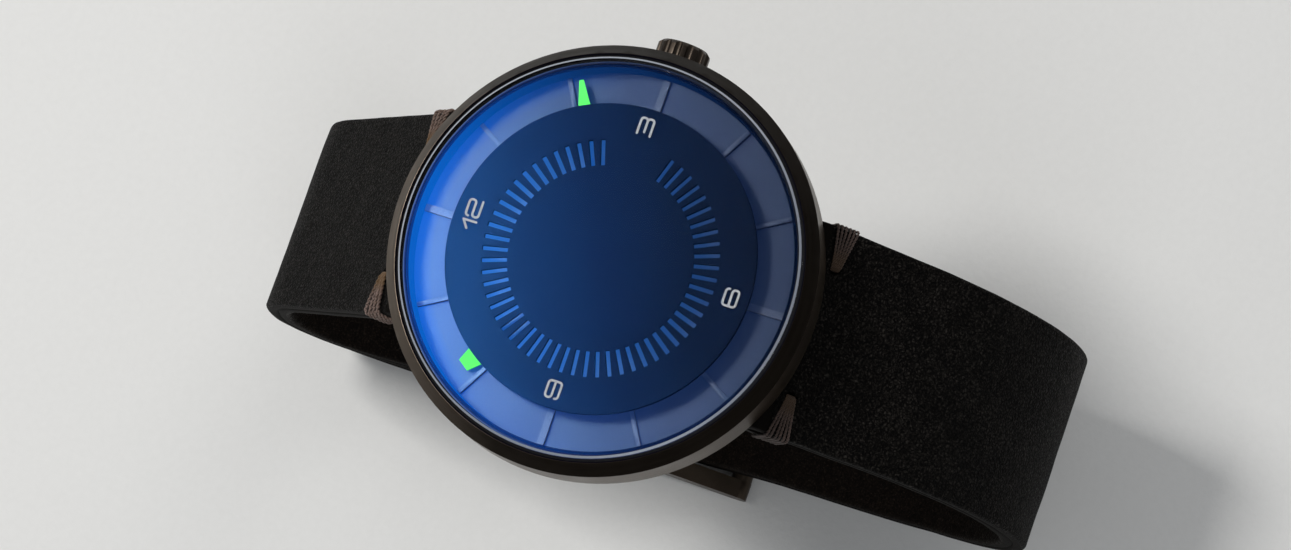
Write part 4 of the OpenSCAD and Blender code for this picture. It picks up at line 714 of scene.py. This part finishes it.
def worn(x, s, depth, bend, stitch_at, seed):
    """How far worn leather stands out at a place, in mm: waves, creases inside a bend, folds outside it, and
    the stitches' holes."""
    face = 1 - 2 * depth / STRAP_T
    spot = Vector((x * 0.16, s * 0.13, depth * 0.3 + seed))
    wave = 0.07 * noise.noise(spot) + 0.03 * noise.noise(spot * 3.1)
    fold = 0.0
    if bend < 0 and face < 0:
        fold = 0.10 * min(1, -bend * 14) * -face * noise.noise(Vector((x * 0.12, s * 0.95, 3.7)))
    elif face > 0.9:
        fold = 0.035 * noise.noise(Vector((x * 0.25, s * 1.3, 9.1))) * min(1, abs(bend) * 16)
        hole = math.hypot(abs(x) - HOLE_X, (s - stitch_at) * 0.8)
        fold -= 0.75 * math.exp(-(hole / 0.36) ** 4) - 0.09 * math.exp(-((hole - 0.62) / 0.2) ** 2)
    return wave * (0.35 if abs(face) < 0.9 else 1) + fold


def strap_mesh(name, path, mirror, stitch_at, tip=0.0):
    """A strap half as a swept section of worn leather. tip is the length of its rounded end, in mm."""
    loop = section()
    stations = finer(0.0, path.length - tip, 0.75, [stitch_at])
    if tip:
        stations += [path.length - tip + tip * math.sin(i * math.pi / 24) for i in range(1, 13)]
    points, faces, kinds = [], [], []
    for s in stations:
        half = half_width(path, s)
        if tip and s > path.length - tip:
            half *= max(0.10, math.sqrt(max(0.0, 1 - ((s - path.length + tip) / tip) ** 2)))
        bend = path.bend(s)
        for share, inside, depth in loop:
            x = share * half - math.copysign(inside, share) if abs(share) == 1 else share * (half - EDGE_R)
            rise = worn(x, s, depth, bend, stitch_at, 5 if mirror else 0)
            edge_wave = 0.05 * noise.noise(Vector((7.0 * math.copysign(1, x), s * 0.21, 2.2)))
            p = path.point(x + math.copysign(edge_wave, x) * abs(share) ** 4, s, -depth + rise)
            if mirror:
                p.y = -p.y
            points.append(p)
    n = len(loop)
    for i in range(len(stations) - 1):
        for j in range(n):
            k = (j + 1) % n
            quad = (i * n + j, i * n + k, (i + 1) * n + k, (i + 1) * n + j)
            faces.append(quad if mirror else quad[::-1])
            depth = (loop[j][2] + loop[k][2]) / 2
            kinds.append(OUTSIDE if depth < 0.5 else INSIDE if depth > STRAP_T - 0.5 else CUT)
    first, last = tuple(range(n)), tuple(range((len(stations) - 1) * n, len(stations) * n))
    faces += [first[::-1] if mirror else first, last if mirror else last[::-1]]
    kinds += [CUT, CUT]
    return mesh_object(name, points, faces, STRAP_FINISHES, kinds)


def revolved(profile, centre, axis, steps):
    """Points and faces of a closed solid turned round an axis through centre. profile is (radius, height) in
    mm."""
    points, faces = [], []
    turn = {"x": lambda r, a, h: (h, r * math.cos(a), r * math.sin(a)),
            "z": lambda r, a, h: (r * math.cos(a), r * math.sin(a), h)}[axis]
    for r, h in profile:
        for i in range(steps):
            points.append((Vector(centre) + Vector(turn(r, 2 * math.pi * i / steps, h))) * MM)
    last = (len(profile) - 1) * steps
    for k in range(len(profile) - 1):
        for i in range(steps):
            j = (i + 1) % steps
            faces.append((k * steps + i, k * steps + j, (k + 1) * steps + j, (k + 1) * steps + i))
    faces.append(tuple(range(steps))[::-1])
    faces.append(tuple(range(last, last + steps)))
    return points, faces


def boxed(low, high):
    """Points and faces of a box between two corners, in mm."""
    corners = [Vector(corner) * MM for corner in itertools.product(*zip(low, high))]
    return corners, [(0, 1, 3, 2), (4, 6, 7, 5), (0, 4, 5, 1), (2, 3, 7, 6), (0, 2, 6, 4), (1, 5, 7, 3)]


def joined(solids):
    """Points and faces of many solids as one."""
    points, faces = [], []
    for some, their in solids:
        base = len(points)
        points += some
        faces += [tuple(base + i for i in f) for f in their]
    return points, faces


def combine(obj, solids, operation):
    """Adds the solids to obj's mesh, or cuts them from it."""
    tool = mesh_object("tool", *joined(solids), (edge,))
    step = obj.modifiers.new("step", "BOOLEAN")
    step.operation, step.solver, step.object = operation, "EXACT", tool
    bpy.context.view_layer.update()
    made = bpy.data.meshes.new_from_object(obj.evaluated_get(bpy.context.evaluated_depsgraph_get()))
    obj.modifiers.clear()
    old = obj.data
    obj.data = made
    bpy.data.meshes.remove(old)
    bpy.data.objects.remove(tool)


def eye(y_sign):
    """Turned leather round the bar, both sides of the lug."""
    r = 0.35
    out = []
    for low, high in ((-EYE_END, -LUG_HALF), (LUG_HALF, EYE_END)):
        profile = [(0.1, low), (EYE_R - r, low), (EYE_R - 0.1, low + 0.1), (EYE_R, low + r),
                   (EYE_R, high - r), (EYE_R - 0.1, high - 0.1), (EYE_R - r, high), (0.1, high)]
        out.append(revolved(profile, (0, y_sign * BAR_Y, BAR_Z + LOOP_Z), "x", 48))
    return out


def rod(radius, half, centre, steps):
    """A cylinder across the strap."""
    return revolved([(radius, -half), (radius, half)], centre, "x", steps)


def bar_cut(y_sign):
    return [rod(BAR_R, THROUGH, (0, y_sign * BAR_Y, BAR_Z + LOOP_Z), 40)]


def lug_cut(y_sign):
    return [rod(EYE_R + 0.05, LUG_HALF, (0, y_sign * BAR_Y, BAR_Z + LOOP_Z), 48)]


stitch_12 = (CASE_R - path_12.start[0]) / math.cos(path_12.start[2]) + STITCH_OUT_12
stitch_6 = (CASE_R - path_6.start[0]) / math.cos(path_6.start[2]) + STITCH_OUT_6

strap_12 = strap_mesh("strap_12_leather", path_12, False, stitch_12)
hinge = (0, HINGE_Y, HINGE_Z + LOOP_Z)
turned_end = [(0.1, -8.98), (1.1, -8.98), (1.3, -8.8), (1.3, 8.8), (1.1, 8.98), (0.1, 8.98)]
tang_slot = boxed((-1.1, 5.0, -42), (1.1, 9.65, -35))
combine(strap_12, eye(1) + [revolved(turned_end, hinge, "x", 40)], "UNION")
combine(strap_12, lug_cut(1), "DIFFERENCE")
combine(strap_12, bar_cut(1) + [rod(PIN_R, THROUGH, hinge, 32)], "DIFFERENCE")
combine(strap_12, [tang_slot], "DIFFERENCE")

strap_6 = strap_mesh("strap_6_leather", path_6, True, stitch_6, 7.5)
combine(strap_6, eye(-1), "UNION")
combine(strap_6, lug_cut(-1), "DIFFERENCE")
punched = [(0.05, -43.4), (1.65, -43.4), (1.65, -42.9), (1.3, -42.35), (1.3, -40.25), (1.65, -39.8),
           (1.65, -39.6), (0.05, -39.6)]
holes = [revolved(punched, (0, PUNCH_Y - PUNCH_STEP * i, 0), "z", 32) for i in range(-2, 5)]
combine(strap_6, bar_cut(-1) + holes, "DIFFERENCE")

for obj, cad in ((strap_12, "strap_12"), (strap_6, "strap_6")):
    obj.data.shade_smooth()
    obj.data.set_sharp_from_angle(angle=math.radians(42))
    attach(obj, "case")
    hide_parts(cad)


# Thread
def smoothed(points, count):
    """Catmull-Rom curve through the points, with count steps between each two."""
    ends = [2 * points[0] - points[1], *points, 2 * points[-1] - points[-2]]
    out = []
    for i in range(1, len(ends) - 2):
        a, b, c, d = ends[i - 1:i + 3]
        for k in range(count):
            t = k / count
            out.append(0.5 * (2 * b + (c - a) * t + (2 * a - 5 * b + 4 * c - d) * t * t
                              + (3 * b - a - 3 * c + d) * t ** 3))
    return out + [points[-1]]


def tube(centres, radius, sides):
    """Round tube of one thickness along points, closed at both ends."""
    points, faces = [], []
    side = (centres[1] - centres[0]).orthogonal().normalized()
    for i, c in enumerate(centres):
        ahead = (centres[min(i + 1, len(centres) - 1)] - centres[max(i - 1, 0)]).normalized()
        side = (side - side.dot(ahead) * ahead).normalized()
        up = ahead.cross(side)
        for k in range(sides):
            a = 2 * math.pi * k / sides
            points.append(c + radius * (math.cos(a) * side + math.sin(a) * up))
    for i in range(len(centres) - 1):
        for k in range(sides):
            n = (k + 1) % sides
            faces.append((i * sides + k, i * sides + n, (i + 1) * sides + n, (i + 1) * sides + k))
    last = (len(centres) - 1) * sides
    faces.append(tuple(range(sides))[::-1])
    faces.append(tuple(range(last, last + sides)))
    return points, faces


def plied(points, offset, radius, pitch):
    """Twisted thread along points: two tubes wound round each other."""
    line = smoothed(points, 10)
    side = (line[1] - line[0]).orthogonal().normalized()
    run, frames = 0.0, []
    for i, c in enumerate(line):
        ahead = (line[min(i + 1, len(line) - 1)] - line[max(i - 1, 0)]).normalized()
        side = (side - side.dot(ahead) * ahead).normalized()
        run += (c - line[max(i - 1, 0)]).length
        frames.append((c, side.copy(), ahead.cross(side), run))
    solids = []
    for ply in (0, 0.5):
        centres = []
        for c, side, up, run in frames:
            a = 2 * math.pi * (ply + run / pitch)
            centres.append(c + offset * (math.cos(a) * side + math.sin(a) * up))
        solids.append(tube(centres, radius, 7))
    return solids


def side_stitches(name, path, mirror, stitch_at, cad, strands, ply, root, fan):
    """Twisted strands on each side that fan from a hole to the edge, and go round it to the inner face. ply
    is the radius of one of a strand's two plies, and root and fan are the distances from one strand to the
    next at the hole and at the edge, in mm."""
    solids = []
    edge_x = half_width(path, stitch_at) + 0.2
    for sign in (-1, 1):
        for i in range(strands):
            spread = i - (strands - 1) / 2
            near = stitch_at + min(spread * root, spread * fan) - 0.2
            deep = max(STRAP_T, EYE_R + math.sqrt(max(0.0, EYE_R ** 2 - near ** 2)) if near < EYE_R else 0.0)
            off = 0.25 * fan * noise.noise(Vector((i * 3.3, sign * 2.1, 1.7 if mirror else 0.4)))
            lift = 0.3 * ply * (i % 2)
            # x across, share of the way from root to fan, height above the outer face
            route = [(HOLE_X, 0.0, -1.0), (HOLE_X, 0.0, -0.35), (6.2, 0.05, 0.06), (6.6, 0.15, 0.22 + lift),
                     (7.6, 0.38, 0.23 + lift), (8.6, 0.64, 0.22 + lift), (9.4, 0.86, 0.20),
                     (edge_x - 0.2, 1.0, 0.09), (edge_x, 1.0, -0.35), (edge_x + 0.02, 1.0, -deep / 2),
                     (edge_x, 1.0, 0.35 - deep), (edge_x - 0.2, 1.0, -0.10 - deep), (9.3, 0.85, -0.21 - deep),
                     (8.2, 0.6, -0.23 - deep), (7.0, 0.3, -0.22 - deep), (6.3, 0.08, -0.08 - deep),
                     (HOLE_X, 0.0, 0.4 - deep)]
            places = []
            for x, share, w in route:
                p = path.point(sign * x, stitch_at + spread * (root + (fan - root) * share) + off * share, w)
                if mirror:
                    p.y = -p.y
                places.append(p)
            solids += plied(places, 0.78 * ply * MM, ply * MM, 9 * ply * MM)
    obj = mesh_object(name, *joined(solids), (thread,))
    obj.data.shade_smooth()
    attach(obj, "case")
    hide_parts(cad)


side_stitches("thread_12", path_12, False, stitch_12, "stitches_12", 4, 0.105, 0.22, 0.95)
side_stitches("thread_6", path_6, True, stitch_6, "stitches_6", 6, 0.075, 0.13, 0.40)


# Keepers, in mm
BAND_W, BAND_T, BAND_EDGE = 4.5, 1.3, 0.35      # width along the strap, thickness, rounding of the edges
CORNER_X, BAND_Z = 8.75, 4.2                    # middles of the rounded corners, and of the band


def band_ring(radius, low, high):
    """Round-cornered loop across the strap: (x, z), with more points along its straight sides. low and high
    are the heights of its corners' middles."""
    right, left = CORNER_X, -CORNER_X
    ring = []
    for x, z, start in ((right, high, 0), (left, high, 90), (left, low, 180), (right, low, 270)):
        for k in range(9):
            a = math.radians(start + k * 11.25)
            ring.append((x + radius * math.cos(a), z + radius * math.sin(a)))
    out = []
    for i, (x, z) in enumerate(ring):
        nx, nz = ring[(i + 1) % len(ring)]
        steps = 19 if abs(nx - x) > 5 else 5 if abs(nz - z) > 2 else 1
        out += [(x + (nx - x) * k / steps, z + (nz - z) * k / steps) for k in range(steps)]
    return out


def band_section():
    """Loop round the band's cut, with a groove in both edges: (share of the thickness inward, mm along the
    strap)."""
    r, w, share = BAND_EDGE, BAND_W, BAND_EDGE / BAND_T
    quarter = [i * math.pi / 8 for i in range(1, 5)]
    ys = finer(r, w - r, 0.6, [])
    loop = [(0.0, v) for v in ys]
    loop += [(share * (1 - math.cos(a)), w - r + r * math.sin(a)) for a in quarter]
    loop += [(0.42, w), (0.48, w - 0.08), (0.54, w), (1 - share, w)]
    loop += [(1 - share * (1 - math.sin(a)), w - r * (1 - math.cos(a))) for a in quarter]
    loop += [(1.0, v) for v in reversed(ys[:-1])]
    loop += [(1 - share * (1 - math.cos(a)), r - r * math.sin(a)) for a in quarter]
    loop += [(0.54, 0.0), (0.48, 0.08), (0.42, 0.0), (share, 0.0)]
    return loop + [(share * (1 - math.sin(a)), r * (1 - math.cos(a))) for a in quarter[:-1]]


def keeper(name, y, body, cad):
    """Leather band round the strap: a rounded section swept between an outer and an inner ring."""
    outer, inner, loop = band_ring(1.8, 1.8, 6.6), band_ring(0.55, 1.9, 6.5), band_section()
    points, faces, kinds = [], [], []
    n, m = len(outer), len(loop)
    for (ox, oz), (ix, iz) in zip(outer, inner):
        for s, e in loop:
            x, z = ox + (ix - ox) * s, oz + (iz - oz) * s
            wave = 0.05 * noise.noise(Vector((x * 0.3, z * 0.3 + y, e * 0.5)))
            out = Vector((x, 0, z - BAND_Z)).normalized() * wave if s < 0.5 else Vector()
            points.append(Vector((x + out.x, y + e, max(z + out.z, 0.0) + LOOP_Z)) * MM)
    for i in range(n):
        for j in range(m):
            a, b = i * m + j, i * m + (j + 1) % m
            c, d = ((i + 1) % n) * m + (j + 1) % m, ((i + 1) % n) * m + j
            faces.append((a, b, c, d))
            s = (loop[j][0] + loop[(j + 1) % m][0]) / 2
            kinds.append(OUTSIDE if s < 0.25 else INSIDE if s > 0.75 else CUT)
    obj = mesh_object(name, points, faces, STRAP_FINISHES, kinds)
    obj.data.shade_smooth()
    obj.data.set_sharp_from_angle(angle=math.radians(50))
    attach(obj, body)
    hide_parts(cad)


keeper("keeper_fixed", 12.6, "case", "fixed_keeper")
keeper("keeper_sliding", 19.1, "sliding_keeper", "sliding_keeper")

# Floor
turns = [i * math.pi / 32 for i in range(64)]
rim = [(FLOOR_R * math.cos(a), FLOOR_R * math.sin(a), FLOOR_Z) for a in turns]
floor = mesh_object("floor", rim, [tuple(range(64))], (pale_floor(),))
